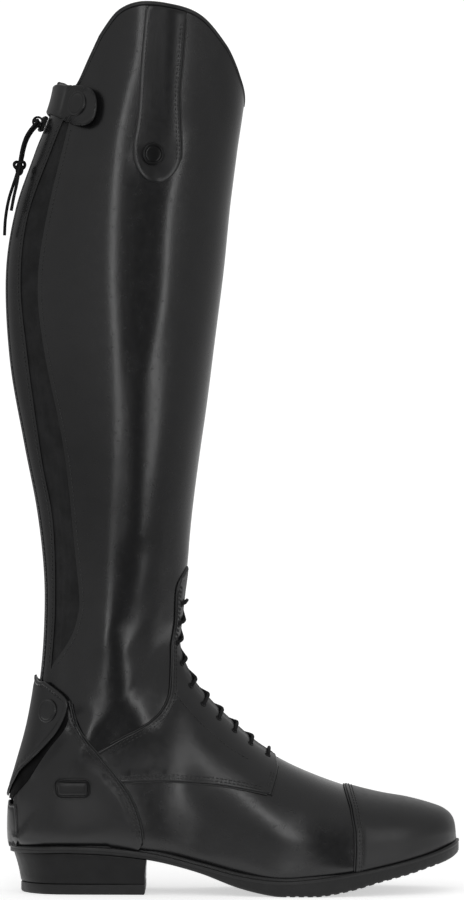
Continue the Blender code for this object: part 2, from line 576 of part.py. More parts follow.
def make_zip():
    """Zip tape and chain in its slot, and the slider with a bail."""
    rows = [at for at in MESH_ROWS if at >= 14]
    chain = new_object("zip_chain", form_sheet("zip_chain", -WALL + GAP, rows, MESH_TURNS), BOOT)
    thicken(chain, WALL, outward=True)
    outline = box_outline(ZIP_Y - ZIP_HALF, ZIP_Y + ZIP_HALF, ZIP_LOW + GAP, ZIP_TOP)
    cut(chain, prism("zip_outline", outline, -BEYOND, 0.0, from_back=True), "INTERSECT")

    thick, wide, tall = (size * MM for size in SLIDER_SIZE)
    at, turn = find((ZIP_Y, SLIDER_Z), (1, 2), (-1.0, -0.8))
    bpy.ops.mesh.primitive_cube_add(size=1.0)
    slider = bpy.context.object
    slider.name = "zip_slider"
    slider.data.transform(Matrix.Diagonal((wide, tall, thick, 1.0)))
    slider.matrix_world = on_form(at, turn, SLIDER_LIFT + SLIDER_SIZE[0] / 2)
    bevel = slider.modifiers.new("Edges", "BEVEL")
    bevel.width = SLIDER_EDGE * MM
    bevel.segments = 1
    bpy.ops.mesh.primitive_torus_add(major_radius=BAIL * MM, minor_radius=BAIL_WIRE * MM,
                                     major_segments=14, minor_segments=6)
    bail = bpy.context.object
    bail.name = "slider_bail"
    bail_place = on_form(at, turn, SLIDER_LIFT + SLIDER_SIZE[0] + BAIL - BAIL_SINK)
    bail.matrix_world = bail_place @ Matrix.Rotation(math.pi / 2, 4, "Y")
    for piece, home in ((slider, BOOT), (bail, CUTTERS)):
        piece.users_collection[0].objects.unlink(piece)
        home.objects.link(piece)
    bail.hide_render = True
    bail.display_type = "WIRE"
    cut(slider, bail, "UNION")
    return np.array(form(at, turn, SLIDER_LIFT + SLIDER_SIZE[0] + BAIL - BAIL_REST))


def make_cord(eye):
    """Pull cord: doubled through the slider's bail, knotted, with two tails."""
    knot_top = np.array(KNOT) + (2.0, 0.0, KNOT_RADII[2] + 0.6)
    inner_end, outer_end = eye + (-1.2, 3.4, -1.6), eye + (-1.2, -3.4, -1.6)
    back = smooth_line([knot_top + (0.0, -LOOP_SPREAD, 0.0), knot_top + (2.6, -LOOP_SPREAD - 0.8, 8.0),
                        eye + (-5.0, -3.6, -6.6), outer_end], CORD_STEP)
    over = smooth_line([outer_end, eye + (0.2, -1.6, 0.3), eye + (0.2, 1.6, 0.3), inner_end], CORD)
    down = smooth_line([inner_end, eye + (-4.6, 3.0, -7.0), knot_top + (3.2, LOOP_SPREAD + 1.2, 8.0),
                        knot_top + (0.0, LOOP_SPREAD, 0.0)], CORD_STEP)
    tube("pull_loop", back + over[1:-1] + down, CORD)
    bpy.ops.mesh.primitive_uv_sphere_add(segments=10, ring_count=6, radius=1.0)
    knot = bpy.context.object
    knot.name = "pull_knot"
    knot.data.transform(Matrix.Diagonal((*(Vector(KNOT_RADII) * MM), 1.0)))
    knot.location = Vector(KNOT) * MM
    knot.users_collection[0].objects.unlink(knot)
    BOOT.objects.link(knot)
    tube("pull_tail_long", smooth_line(LONG_TAIL, CORD_STEP), CORD)
    tube("pull_tail_short", smooth_line(SHORT_TAIL, CORD_STEP), CORD)


def make_sole():
    """Welt, outsole in a ribbed forepart and a waist, heel block, top lift and insole."""
    rows = [sole_row(at) for at in SOLE_STATIONS]

    plates = []
    for row in rows:
        x, outer, inner = row["x"], -row["outer"], row["inner"]
        top = row["feather"] - GAP
        plates.append([(x, outer, top), (x, inner, top), (x, inner, top - WELT), (x, outer, top - WELT)])
    section_loft("welt", plates)

    stations = [(row["x"], 0.0) for row in rows if not RIB_FIRST < row["x"] < RIB_LAST]
    stations += [(SOLE_SPLIT + GAP / 2, 0.0), (SOLE_SPLIT - GAP / 2, 0.0)]
    for rib in range(int((RIB_LAST - RIB_FIRST) / RIB_PITCH)):
        start = RIB_FIRST + rib * RIB_PITCH
        stations += [(start + share * RIB_PITCH, depth * RIB_DEPTH) for share, depth in RIB_PROFILE]
    sections = []
    for x, raised in sorted(stations, reverse=True):
        row = sole_at(x)
        outer, inner = OUTSOLE_INSET - row["outer"], row["inner"] - OUTSOLE_INSET
        draw = min(1.0, (inner - outer) / 8)
        edge = min(TREAD_EDGE, (row["feather"] - row["tread"]) / 4)
        top = row["feather"] - WELT - 2 * GAP
        low = row["tread"] + raised
        side = row["tread"] + edge
        sections.append([(x, outer, top), (x, inner, top), (x, inner - OUTSOLE_INSET * draw, side),
                         (x, inner - TREAD_DRAW * draw, low), (x, outer + TREAD_DRAW * draw, low),
                         (x, outer + OUTSOLE_INSET * draw, side)])
    section_loft("outsole_fore", [section for section in sections if section[0][0] > SOLE_SPLIT])
    section_loft("outsole_waist", [section for section in sections if section[0][0] < SOLE_SPLIT])

    back = SOLE[-1][0]
    heel, lift = [], []
    for x in np.linspace(HEEL_BREAST, back + HEEL_END, HEEL_SECTIONS):
        row = sole_at(x)
        share = (HEEL_BREAST - x) / (HEEL_BREAST - back)
        top_x = x + share * HEEL_TOP_DRAW
        foot_x = x - HEEL_BREAST_DRAW + share * (HEEL_BREAST_DRAW + HEEL_BACK_DRAW)
        draw = min(HEEL_SIDE_DRAW, row["outer"] / 5)
        top = (top_x, draw / 2 - row["outer"], row["inner"] - draw / 2)
        foot = (foot_x, 2 * draw - row["outer"], row["inner"] - 2 * draw)
        high = row["tread"] - GAP
        heel.append([(top[0], top[1], high), (top[0], top[2], high),
                     (foot[0], foot[2], LIFT + GAP), (foot[0], foot[1], LIFT + GAP)])
        lift.append([(foot[0], foot[1], LIFT), (foot[0], foot[2], LIFT),
                     (foot[0], foot[2], 0.0), (foot[0], foot[1], 0.0)])
    section_loft("heel_block", heel)
    section_loft("heel_lift", lift)

    bed = []
    for at in INSOLE_STATIONS:
        row = dict(zip(LAST_COLUMNS, read_rows(LAST, at)))
        low = row["end_z"] + WALL + GAP
        x = row["end_x"] * (1 - INSOLE_DRAW) + INSOLE_DRAW * INSOLE_MIDDLE
        outer = row["shift"] - row["open_outer"] + 2 * GAP
        inner = row["shift"] + row["open_inner"] - 2 * GAP
        bed.append([(x, outer, low + INSOLE), (x, inner, low + INSOLE), (x, inner, low), (x, outer, low)])
    section_loft("insole", bed)


def make_binding():
    """Rolled edge along the collar, open at the zip."""
    at = LEVEL_ROW + 1
    slot = find((ZIP_Y, ZIP_TOP), (1, 2), (-1.0, -0.8))[1]
    reach = 0.030
    turns = [slot + reach] + [turn for turn in MESH_TURNS if turn > slot + 2 * reach]
    turns.append(-1.0 + 0.4 * (slot + 1.0))
    line = []
    for turn in turns:
        normal = form_normal(at, turn)
        before, after = max(turn - 0.01, -1.0), min(turn + 0.01, 1.0)
        along = form_point(at, after) - form_point(at, before)
        up = np.cross(normal, along)
        up *= math.copysign(1 / np.linalg.norm(up), up[2])
        line.append(form_point(at, turn) - normal * WALL / 2 + up * (2 * GAP + BINDING))
    tube("collar_binding", line, BINDING, sides=1)


def make_laces():
    """Two zigzag runs that cross over the throat, joined, and an eyelet at each end of a row."""
    rows = LACE_ROWS
    outset = OVERLAY + LACE_LIFT + LACE

    def across(at, y):
        width = read_rows(LAST, at)[COLUMN["outer" if y < 0 else "inner"]]
        return math.copysign(math.asin(min(abs(y) / width, 1.0)) / math.pi, y)

    def run(start_at, start_y, stop_at, stop_y):
        points = []
        for share in (0.0, 0.34, 0.66):
            at = start_at + (stop_at - start_at) * share
            y = start_y + (stop_y - start_y) * share
            points.append(form(at, across(at, y), outset + LACE_CROWN * (1 - abs(y) / LACE_TURN_Y)))
        return points

    runs = []
    for side in (-1, 1):
        line = run(rows[0], -side * LACE_TURN_Y, rows[0], side * LACE_TURN_Y) if side < 0 else []
        y = side * LACE_TURN_Y
        for low, high in zip(rows, rows[1:]):
            line += run(low, y, high, -y)
            y = -y
        line.append(form(rows[-1], across(rows[-1], y), outset))
        runs.append(mesh_of(tube("lace_run", line, LACE, sides=1, collection=CUTTERS)))
    lace = new_object("lace", runs[0], BOOT)
    cut(lace, hidden("lace_second_run", runs[1]), "UNION")

    bpy.ops.mesh.primitive_torus_add(major_radius=EYELET * MM, minor_radius=EYELET_WIRE * MM,
                                     major_segments=7, minor_segments=3)
    pattern = bpy.context.object
    for side, label in ((-1, "outer"), (1, "inner")):
        for place, at in enumerate(rows):
            eyelet = new_object(f"eyelet_{label}_{place + 1:02d}", pattern.data, BOOT)
            eyelet.matrix_world = on_form(at, across(at, side * EYELET_Y), OVERLAY + 3 * GAP + EYELET_WIRE)
    bpy.data.objects.remove(pattern)


def make_snap(name, place, radius, outset):
    """Turned press-stud cap on the outer side."""
    at, turn = find(place, (0, 2), (-0.95, -0.05))
    mesh = as_mesh(name, [(share * radius, 0.0, up) for share, up in SNAP_PROFILE], [])
    work = bmesh.new()
    work.from_mesh(mesh)
    work.verts.ensure_lookup_table()
    for low in range(len(SNAP_PROFILE) - 1):
        work.edges.new((work.verts[low], work.verts[low + 1]))
    work.to_mesh(mesh)
    work.free()
    snap = new_object(name, mesh, BOOT)
    screw = snap.modifiers.new("Turned", "SCREW")
    screw.steps = 12
    screw.render_steps = 12
    screw.use_merge_vertices = True
    screw.merge_threshold = 0.00001
    snap.matrix_world = on_form(at, turn, outset)


def paint():
    """Gives each piece its own material."""
    starts = {"insole": "lining", "elastic": "elastic", "zip_chain": "zip", "zip_slider": "metal",
              "welt": "rubber", "outsole": "rubber", "heel": "rubber", "lace": "lace", "pull": "lace",
              "eyelet": "metal", "snap": "metal"}
    for piece in BOOT.objects:
        kinds = [kind for start, kind in starts.items() if piece.name.startswith(start)]
        kind = kinds[0] if kinds else "leather"
        colour, roughness, metallic = MATERIALS[kind]
        material = bpy.data.materials.get(piece.name) or bpy.data.materials.new(piece.name)
        material.use_nodes = True
        shader = material.node_tree.nodes["Principled BSDF"]
        shader.inputs["Base Color"].default_value = (*colour, 1.0)
        shader.inputs["Roughness"].default_value = roughness
        shader.inputs["Metallic"].default_value = metallic
        piece.data.materials.clear()
        piece.data.materials.append(material)
        if piece.type == "MESH":
            piece.data.shade_smooth()
            piece.data.set_sharp_from_angle(angle=math.radians(35))


for old in list(bpy.data.objects):
    bpy.data.objects.remove(old)
BOOT = bpy.data.collections.new("riding_boot")
CUTTERS = bpy.data.collections.new("cutters")
bpy.context.scene.collection.children.link(BOOT)
bpy.context.scene.collection.children.link(CUTTERS)

make_upper()
make_panels()
make_sole()
make_cord(make_zip())
make_binding()
make_laces()
for stud, (stud_place, stud_radius, stud_seat) in SNAPS.items():
    make_snap(stud, stud_place, stud_radius, stud_seat)
paint()
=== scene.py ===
"""Looks of the right lace-up riding boot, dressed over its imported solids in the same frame.

+X runs to the toe, +Y to the inner side of the leg and +Z up. Tables are in millimetres.
"""

import math

import bmesh
import bpy
import numpy as np
from mathutils import Matrix, Vector
from mathutils.geometry import delaunay_2d_cdt


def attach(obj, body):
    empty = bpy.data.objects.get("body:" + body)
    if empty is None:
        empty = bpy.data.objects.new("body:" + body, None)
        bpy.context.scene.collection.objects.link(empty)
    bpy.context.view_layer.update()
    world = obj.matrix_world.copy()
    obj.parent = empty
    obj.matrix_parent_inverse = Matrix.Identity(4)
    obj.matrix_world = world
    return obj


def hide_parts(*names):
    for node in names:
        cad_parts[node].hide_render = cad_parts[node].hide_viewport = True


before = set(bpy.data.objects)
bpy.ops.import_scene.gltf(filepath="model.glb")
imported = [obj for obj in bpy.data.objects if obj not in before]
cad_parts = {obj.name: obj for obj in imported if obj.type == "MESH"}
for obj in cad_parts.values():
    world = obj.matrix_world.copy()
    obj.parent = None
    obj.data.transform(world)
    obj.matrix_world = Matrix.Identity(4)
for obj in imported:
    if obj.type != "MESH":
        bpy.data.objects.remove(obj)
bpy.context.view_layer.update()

MM = 0.001

# Thicknesses, and heights of faces over the last
GAP = 0.3
WALL = 2.0
OVERLAY = 1.2
FACE = GAP + OVERLAY
COUNTER_FACE = FACE + 0.7
STRIP_FACE = GAP + 0.5
FLAP = 1.5
FLAP_RISE = 2.1
TAB_RISE = 1.3
TONGUE = 1.6
WELT = 2.2
LIFT = 6.7
BINDING = 1.3
CORD = 1.0
LACE = 1.1
SEAM = 0.55

# Rolled edges of the panels and the troughs that their stitches lie in
EDGE_STEPS = (0.3, 0.8, 1.4, 2.1, 2.9, 3.8)
ROLL = 0.9
TROUGH = 0.28
TROUGH_HALF = 0.7
# Share of a ring's distance, and distance past the last ring, that points keep clear of the edge
RING_CLEAR = 0.93
GRID_CLEAR = 0.8
# Panels that rise more than this take their shape on both faces
FREE_RISE = 1.0

# Distances of the stitch rows from the edges
COUNTER_ROWS = (1.7, 3.6)
QUARTER_ROWS = (2.0, 3.8)
TOE_ROWS = (2.5, 4.2)
FLAP_ROW = 3.0
CHANNEL_HALF = 0.8
FACING_DEPTH = 0.3

# Spacing of the stitches, and rings of one: place along it, radius and lift
STITCH_PITCH = 2.7
WELT_PITCH = 3.2
STITCH = [(-1.0, 0.0, -0.25), (-0.75, 0.27, 0.0), (0.0, 0.35, 0.12), (0.75, 0.27, 0.0), (1.0, 0.0, -0.25)]
STITCH_SIDES = 6
STITCH_FLAT = 0.8

# Openings of the upper
THROAT_HALF = 4.0
THROAT_FRONT = 121.5
THROAT_TOP = 196.0
TONGUE_HALF = 17.0
ZIP_Y = -9.0
ZIP_HALF = 3.6
ZIP_LOW = 62.0
ZIP_TOP = 494.0

# The last, a row for each section from the toe tip over the heel to the top of the shaft.
# front: its point on the front line. end: its point on the feather line, or on the back line.
# outer, inner: half widths. shift: sideways place. open: half opening underneath on each side.
# widest: share of the way down at which it is widest. crown, tuck: powers of the two curves.
LAST_COLUMNS = ("front_x", "front_z", "end_x", "end_z", "outer", "inner", "shift",
                "open_outer", "open_inner", "widest", "crown", "tuck")
LAST = np.array([
    (231.0, 32.0, 231.0, 32.0, 0.0, 0.0, 9.0, 0.0, 0.0, 0.60, 2.0, 5.0),
    (229.4, 43.5, 229.4, 31.0, 11.0, 11.0, 8.6, 8.5, 8.5, 0.62, 2.0, 5.0),
    (224.5, 49.3, 224.5, 29.2, 21.0, 21.0, 8.0, 17.0, 17.0, 0.64, 2.1, 5.0),
    (215.5, 53.0, 215.5, 25.9, 29.0, 29.5, 6.6, 24.5, 25.0, 0.66, 2.2, 6.0),
    (201.0, 56.9, 201.0, 21.8, 36.2, 36.6, 4.4, 31.8, 32.0, 0.67, 2.2, 6.0),
    (184.0, 60.0, 184.5, 18.1, 41.2, 42.0, 2.5, 36.8, 37.5, 0.68, 2.2, 6.0),
    (165.0, 64.9, 165.5, 14.8, 44.8, 44.8, 1.0, 40.5, 40.3, 0.68, 2.15, 6.0),
    (145.0, 72.0, 145.0, 11.7, 46.2, 44.2, 0.2, 41.8, 39.3, 0.67, 2.1, 6.0),
    (126.0, 80.5, 122.0, 10.2, 45.2, 39.8, 0.0, 40.6, 35.0, 0.66, 2.0, 6.0),
    (108.8, 91.0, 98.0, 12.9, 41.0, 34.2, 0.0, 35.5, 28.5, 0.57, 2.0, 3.0),
    (94.2, 103.5, 72.5, 19.2, 36.4, 31.0, 0.0, 30.0, 23.8, 0.53, 2.0, 2.2),
    (81.6, 115.7, 46.0, 25.7, 33.8, 30.5, 0.0, 26.8, 22.8, 0.52, 2.0, 2.2),
    (71.8, 128.4, 19.0, 29.2, 33.0, 31.6, 0.0, 25.8, 24.6, 0.53, 2.0, 2.6),
    (65.8, 141.2, -7.0, 30.4, 33.2, 32.6, 0.0, 25.6, 25.6, 0.56, 2.0, 3.6),
    (62.4, 154.0, -27.5, 30.2, 34.0, 33.6, 0.0, 21.5, 21.5, 0.54, 2.0, 3.0),
    (61.6, 165.5, -38.8, 30.4, 35.0, 34.6, 0.0, 11.5, 11.5, 0.53, 2.0, 2.6),
    (62.3, 176.0, -43.0, 31.0, 35.6, 35.2, 0.0, 0.0, 0.0, 0.52, 2.0, 2.3),
    (63.4, 186.0, -42.8, 55.0, 36.0, 35.6, 0.0, 0.0, 0.0, 0.52, 2.0, 2.2),
    (64.8, 196.5, -37.6, 77.0, 36.3, 36.0, 0.0, 0.0, 0.0, 0.52, 2.0, 2.1),
    (65.9, 207.5, -31.0, 103.0, 36.8, 36.5, 0.0, 0.0, 0.0, 0.52, 2.0, 2.05),
    (66.9, 220.0, -26.2, 131.0, 37.8, 37.5, 0.0, 0.0, 0.0, 0.49, 2.0, 2.0),
    (68.4, 235.0, -23.6, 163.0, 39.6, 39.4, 0.0, 0.0, 0.0, 0.47, 2.0, 2.0),
    (70.6, 253.0, -23.6, 197.0, 42.6, 42.4, 0.0, 0.0, 0.0, 0.455, 2.0, 2.0),
    (73.6, 275.0, -27.9, 236.0, 46.4, 46.2, 0.0, 0.0, 0.0, 0.45, 2.0, 2.0),
    (77.5, 302.0, -36.0, 278.0, 50.0, 49.8, 0.0, 0.0, 0.0, 0.455, 2.0, 2.0),
    (82.3, 340.0, -44.8, 329.0, 53.0, 52.8, 0.0, 0.0, 0.0, 0.475, 2.0, 2.0),
    (88.0, 385.0, -47.2, 383.0, 54.0, 54.0, 0.0, 0.0, 0.0, 0.505, 2.0, 2.0),
    (92.0, 425.0, -40.6, 425.0, 53.4, 53.4, 0.0, 0.0, 0.0, 0.54, 2.0, 2.0),
    (96.5, 460.0, -28.4, 460.0, 52.4, 52.4, 0.0, 0.0, 0.0, 0.58, 2.0, 2.0),
    (101.0, 490.0, -17.0, 490.0, 51.2, 51.2, 0.0, 0.0, 0.0, 0.595, 2.0, 2.0),
    (103.0, 520.0, -13.0, 520.0, 50.0, 50.0, 0.0, 0.0, 0.0, 0.575, 2.0, 2.0),
    (104.0, 556.0, -11.0, 556.0, 48.5, 48.5, 0.0, 0.0, 0.0, 0.565, 2.0, 2.0),
])
COLUMN = {name: place for place, name in enumerate(LAST_COLUMNS)}
# Height of the finished collar by the angle from the front, on the outer and the inner side
COLLAR_OUTER = np.array([
    (0, 488.0), (20, 503.5), (36, 521.5), (56, 539.5), (76, 546.0), (92, 547.0), (106, 542.0),
    (118, 528.5), (126, 513.5), (134, 499.0), (143, 496.5), (158, 499.5), (180, 501.5),
])
COLLAR_INNER = np.array([(0, 488.0), (60, 486.0), (120, 491.0), (180, 501.5)])

# The sole, a row for each section: its two edges seen from above, welt top and tread
SOLE_X, SOLE_OUTER, SOLE_INNER, SOLE_FEATHER, SOLE_TREAD = range(5)
SOLE = np.array([
    (234.2, -9.0, 9.0, 32.6, 25.5),
    (232.3, 4.0, 21.5, 31.4, 23.6),
    (226.8, 15.5, 32.5, 29.2, 20.6),
    (217.0, 25.0, 39.5, 25.9, 17.2),
    (201.5, 34.6, 44.2, 21.8, 12.6),
    (184.5, 41.6, 47.2, 18.1, 8.5),
    (165.5, 46.8, 48.6, 14.8, 3.4),
    (145.0, 49.0, 47.2, 11.7, 0.0),
    (122.0, 48.0, 42.5, 10.2, 0.0),
    (98.0, 43.2, 36.4, 12.9, 4.8),
    (72.5, 37.6, 31.2, 19.2, 14.0),
    (46.0, 34.0, 30.0, 25.7, 20.7),
    (19.0, 33.0, 31.6, 29.2, 24.2),
    (-7.0, 32.4, 32.4, 30.4, 25.4),
    (-24.8, 29.6, 29.6, 30.2, 25.2),
    (-35.2, 22.6, 22.6, 30.2, 25.2),
    (-42.2, 12.2, 12.2, 30.2, 25.2),
    (-44.8, 0.0, 0.0, 30.2, 25.2),
])

# Rows of the last: the back of the heel, the highest level one, and the collar
HEEL_ROW = 16
LEVEL_ROW = 27
TOP_ROW = LEVEL_ROW + 1.0
# Turns run from 0 at the front to -1 or 1 at the end, on the outer and the inner side
OUTER_TURNS = (-0.985, -0.015)
INNER_TURNS = (0.015, 0.985)
ZIP_TURNS = (-0.99, -0.8)

# Side-view lines of the panels
COUNTER_EDGE = [(-5.8, 120.0), (-2.7, 105.8), (4.0, 94.8), (10.1, 87.4), (24.9, 69.0),
                (32.2, 57.3), (37.1, 43.2), (38.6, 32.0)]
SEAM_EDGE = [(0.5, 83.6), (11.2, 89.0), (25.5, 96.7), (39.0, 103.4), (49.4, 112.0), (55.0, 121.8),
             (56.8, 131.7), (57.7, 147.0), (58.0, 168.0), (58.6, 185.7), (61.0, 194.5)]
QUARTER_FRONT = [(121.0, 78.0), (120.2, 73.0), (116.9, 61.8)]
QUARTER_LOW = [(116.9, 61.8), (99.7, 65.4), (79.5, 68.5), (48.8, 70.3), (25.7, 69.4), (14.5, 68.6)]
TOE_SEAM = [(161.5, 80.0), (162.2, 67.0), (166.0, 54.0), (168.5, 40.0), (168.6, 28.0), (167.4, 8.0)]
STAY_SIDE = [(-38.5, 55.0), (-37.4, 45.0), (-37.0, 34.0)]
FLAP_EDGE = [(-20.2, 130.7), (-8.5, 122.1), (-6.6, 115.0), (-11.6, 101.2), (-23.9, 85.2), (-34.5, 74.5)]
# Edge of the very dark sheet under the ankle flap: painted shade of the gap under its lifted edge
FLAP_SHADE_EDGE = [(-12.0, 120.0), (-7.2, 112.0), (-8.9, 102.3), (-19.0, 89.0), (-28.0, 76.0), (-35.5, 64.5)]
TAB_EDGE = [(-8.0, 497.4), (5.8, 495.0), (11.4, 491.2), (13.0, 483.6), (11.0, 474.5), (5.0, 470.4),
            (-3.0, 472.0), (-12.0, 477.0)]
STRIP_EDGE = [(40.2, 542.5), (37.5, 511.5), (35.6, 478.6), (32.4, 456.6), (34.2, 446.5),
              (39.5, 439.2), (46.5, 436.6), (54.0, 439.2), (60.0, 446.5), (62.0, 456.5),
              (61.3, 490.0), (63.1, 511.4), (65.4, 541.0)]
ELASTIC_BACK = [(-11.2, 476.0), (-18.4, 458.0), (-33.2, 416.9), (-37.5, 376.2), (-33.2, 330.0),
                (-24.6, 267.2), (-17.8, 228.5), (-16.6, 177.4), (-19.1, 138.0)]
ELASTIC_FRONT = [(-19.1, 138.0), (-5.8, 157.5), (-0.8, 172.8), (-0.2, 184.0), (-3.0, 213.3),
                 (-9.4, 273.4), (-21.7, 335.4), (-25.4, 375.8), (-19.9, 416.3), (-5.7, 476.0)]
# The quarter's stitches show in front of this
SEWN_FROM = 16.0
FACING_SEAM = [(58.9, 124.0), (73.8, 104.8), (89.3, 91.1), (101.7, 83.1)]
# Spur rest: its back, front, low and high edge, its corners, and the groove inside its border
SPUR_EDGES = (-15.6, 6.4, 59.6, 72.2)
SPUR_CORNER = 4.3
SPUR_GROOVE = 1.6
# Distance inside the spur rest's outline, and height over the counter
SPUR_PROFILE = [(0.3, -0.6), (0.0, 0.5), (0.1, 0.9), (0.4, 1.15), (0.8, 1.1), (1.1, 0.6), (1.3, 0.1),
                (1.9, 0.1), (2.1, 0.9), (2.4, 1.5), (2.9, 1.95), (3.6, 2.2), (4.6, 2.3), (5.6, 2.3)]
# Collar tab: lift of its outer end over a length from a start, its snap's tilt, and where it laps
TAB_LIFT = 4.2
TAB_LIFT_FROM = -10.0
TAB_LIFT_LENGTH = 23.0
TAB_TILT = 11.0
TAB_LAP = np.array([(-10.5, 478.6), (-5.6, 496.0)])
TAB_BACK_LOW = 481.5
# Rings of the toe cap near its edge, as shares of the way to the toe tip
TOE_SHARES = [0.0, 0.004, 0.010, 0.018, 0.026, 0.034, 0.042, 0.05, 0.06, 0.07, 0.085]
# Elastic: height of its face and its ribs, and count of the ribs in a half turn
ELASTIC_RISE = -1.4
ELASTIC_THICK = 0.75
RIB_HEIGHT = 0.14
RIBS_ROUND = 170.0 / 1.3
# Zip: spacing of the teeth, and the tape's section with its two raised edges
TEETH_PITCH = 1.6
TAPE_SECTION = [(-3.9, -0.4), (-2.6, -0.35), (-1.9, 0.25), (-1.3, -0.1),
                (1.3, -0.1), (1.9, 0.25), (2.6, -0.35), (3.9, -0.4)]
# Welt and top lift: distance inside the edge, and height
WELT_PROFILE = [(9.0, 1.0), (5.0, 1.7), (4.1, 1.7), (3.5, 1.35), (3.2, 0.6), (3.0, 0.0), (2.7, -0.3),
                (2.1, -0.3), (1.6, 0.0), (0.8, 0.0), (0.2, -0.35), (0.0, -0.9), (0.05, -1.6),
                (0.2, -WELT), (9.0, -WELT)]
LIFT_PROFILE = [(0.7, LIFT - 0.05), (0.0, LIFT - 0.5), (0.0, 1.4), (0.3, 0.7), (1.0, 0.0), (3.0, 0.0)]
# Heel and tread
HEEL_BREAST = 40.5
RIB_PITCH = 5.4
RIB_DEPTH = 0.5
RIBS_FROM = 126.0
RIBS_TO = 219.0

# Main creases in side view: line, half width, and height of the ridge or depth of the trough
FOLDS = [
    ([(38.0, 552.0), (35.0, 511.3), (28.5, 493.0), (24.0, 474.7), (22.2, 447.0), (20.4, 413.7),
      (19.8, 364.9), (22.9, 322.2), (21.5, 279.5), (16.5, 218.5), (16.0, 176.0), (14.0, 156.0)], 8.0, 0.5),
    ([(63.7, 456.4), (56.0, 432.0), (53.0, 413.7), (51.7, 371.0), (47.0, 346.6),
      (41.0, 328.3), (35.5, 303.9), (34.5, 267.3), (34.5, 242.9), (34.5, 222.0)], 7.0, 0.45),
    ([(57.0, 552.0), (56.0, 500.0), (57.0, 472.0)], 6.0, 0.5),
    ([(79.0, 552.0), (78.0, 510.0), (79.0, 485.0)], 14.0, -1.8),
    ([(35.0, 456.0), (38.0, 444.5), (46.5, 438.0)], 2.6, 0.45),
    ([(16.0, 160.0), (17.0, 140.0), (18.0, 124.0), (22.0, 112.0), (28.0, 102.0)], 10.5, 1.3),
    ([(27.0, 150.0), (28.0, 134.0), (31.0, 120.0), (37.0, 110.0)], 10.0, 1.3),
    ([(44.0, 150.0), (46.0, 132.0), (48.0, 120.0), (50.0, 112.0)], 12.0, -0.8),
    ([(58.0, 150.0), (59.0, 136.0), (60.0, 124.0), (58.0, 112.0)], 12.0, -2.7),
    ([(2.0, 97.0), (10.1, 87.4), (24.9, 69.0), (32.2, 57.3), (37.1, 43.2), (38.6, 30.0)], 15.0, 2.1),
    ([(57.0, 90.0), (62.0, 76.0), (72.0, 60.0), (76.0, 48.0), (74.0, 36.0)], 13.0, -1.3),
    ([(78.0, 64.0), (92.0, 56.0), (112.0, 46.0), (140.0, 32.0), (165.0, 16.0)], 12.0, 1.3),
    ([(-2.0, 109.0), (-7.0, 96.0), (-18.0, 81.0), (-29.0, 69.0)], 5.5, -2.4),
]

# Heights of the ten lace rows on the front line, distances of their eyelets from the middle, eyelet rings
LACE_HEIGHTS = [87.0, 94.5, 103.0, 111.5, 121.0, 131.5, 144.4, 156.8, 168.6, 180.6]
EYELETS_Y = [14.6, 14.6, 14.6, 14.6, 14.4, 11.5, 9.2, 8.8, 8.8, 8.8]
EYELET_RADIUS = 1.75
EYELET_WIRE = 0.4
EYELET_STEPS = 20
EYELET_SIDES = 8

# Press studs: place in side view, radius, and height of the seat over the last
SNAPS = {
    "snap_side": ((44.6, 454.0), 7.0, 0.9),
    "snap_tab": ((1.2, 484.0), 8.0, 3.0),
    "snap_flap": ((-17.4, 112.5), 7.4, 3.8),
}
# Their profiles: share of the radius, and height
SNAP_RING = [(0.0, 1.3), (0.40, 1.28), (0.60, 1.2), (0.66, 1.05), (0.70, 1.05), (0.74, 1.5),
             (0.80, 1.78), (0.88, 1.8), (0.95, 1.5), (1.0, 0.9), (1.0, -1.2), (0.9, -1.2)]
SNAP_DOME = [(0.0, 1.75), (0.3, 1.72), (0.55, 1.6), (0.72, 1.4), (0.78, 1.1), (0.83, 1.1),
             (0.89, 1.35), (0.96, 1.15), (1.0, 0.5), (1.0, -1.2), (0.9, -1.2)]
SNAP_STEPS = 48

# The zip slider's bail and the route of the pull cord below it
SLIDER_Z = 474.0
EYE_OUTSET = 6.5
KNOT = np.array((-38.2, -13.0, 448.2))
KNOT_SIZE = (1.2, 1.3, 1.5)
PULL_BOW = [(12.4, -0.6, 28.0), (8.2, -1.0, 23.6), (4.6, -1.2, 18.0), (2.4, -1.0, 11.6), (1.2, -0.8, 5.6)]
LONG_TAIL = [(-40.2, -13.6, 442.6), (-42.2, -14.4, 436.4), (-44.4, -15.0, 429.4),
             (-46.0, -15.2, 421.8), (-47.0, -15.0, 414.0), (-47.4, -14.6, 405.8)]
SHORT_TAIL = [(-38.6, -17.2, 444.0), (-39.6, -19.4, 437.4), (-41.4, -20.4, 429.4), (-43.0, -20.8, 420.8)]

# Studio, in metres and degrees: the camera, and the surround's brightness by the angle from its side
CAMERA_PLACE = (0.093, -3.2, 0.2734)
CAMERA_LENS = 206.45
CAMERA_SENSOR = 36.0
SURROUND = [(-180, 0.7), (-172, 0.3), (-120, 0.2), (-80, 0.52), (-16, 0.57), (4, 0.12), (37, 0.10),
            (56, 0.46), (110, 0.44), (150, 0.6), (180, 0.8)]
SKY = 0.55
SKY_RISE = (0.35, 0.85)
GROUND = 0.16
GROUND_FALL = (-0.15, -0.35)
GROUND_SHARE = 0.8
BACKDROP = 1.1
WHITE = (1.0, 1.0, 1.0, 1.0)
FLOOR_LOW = (-0.5, -0.115)
FLOOR_HIGH = (0.7, 0.9)
# Strip lights: angle from the camera's side, width, low and high end, power
STRIPS = {
    "strip_front": (0.0, 0.14, 0.17, 1.5, 3.0),
    "strip_low": (-3.0, 0.13, 0.0, 0.17, 0.34),
    "strip_under": (-3.0, 0.12, -0.26, -0.1, 0.15),
    "strip_right": (46.0, 0.13, 0.1, 0.66, 1.2),
    "strip_right_low": (46.0, 0.12, -0.04, 0.1, 0.3),
}
STRIP_AWAY = 1.15
STRIP_CENTRE = 0.03


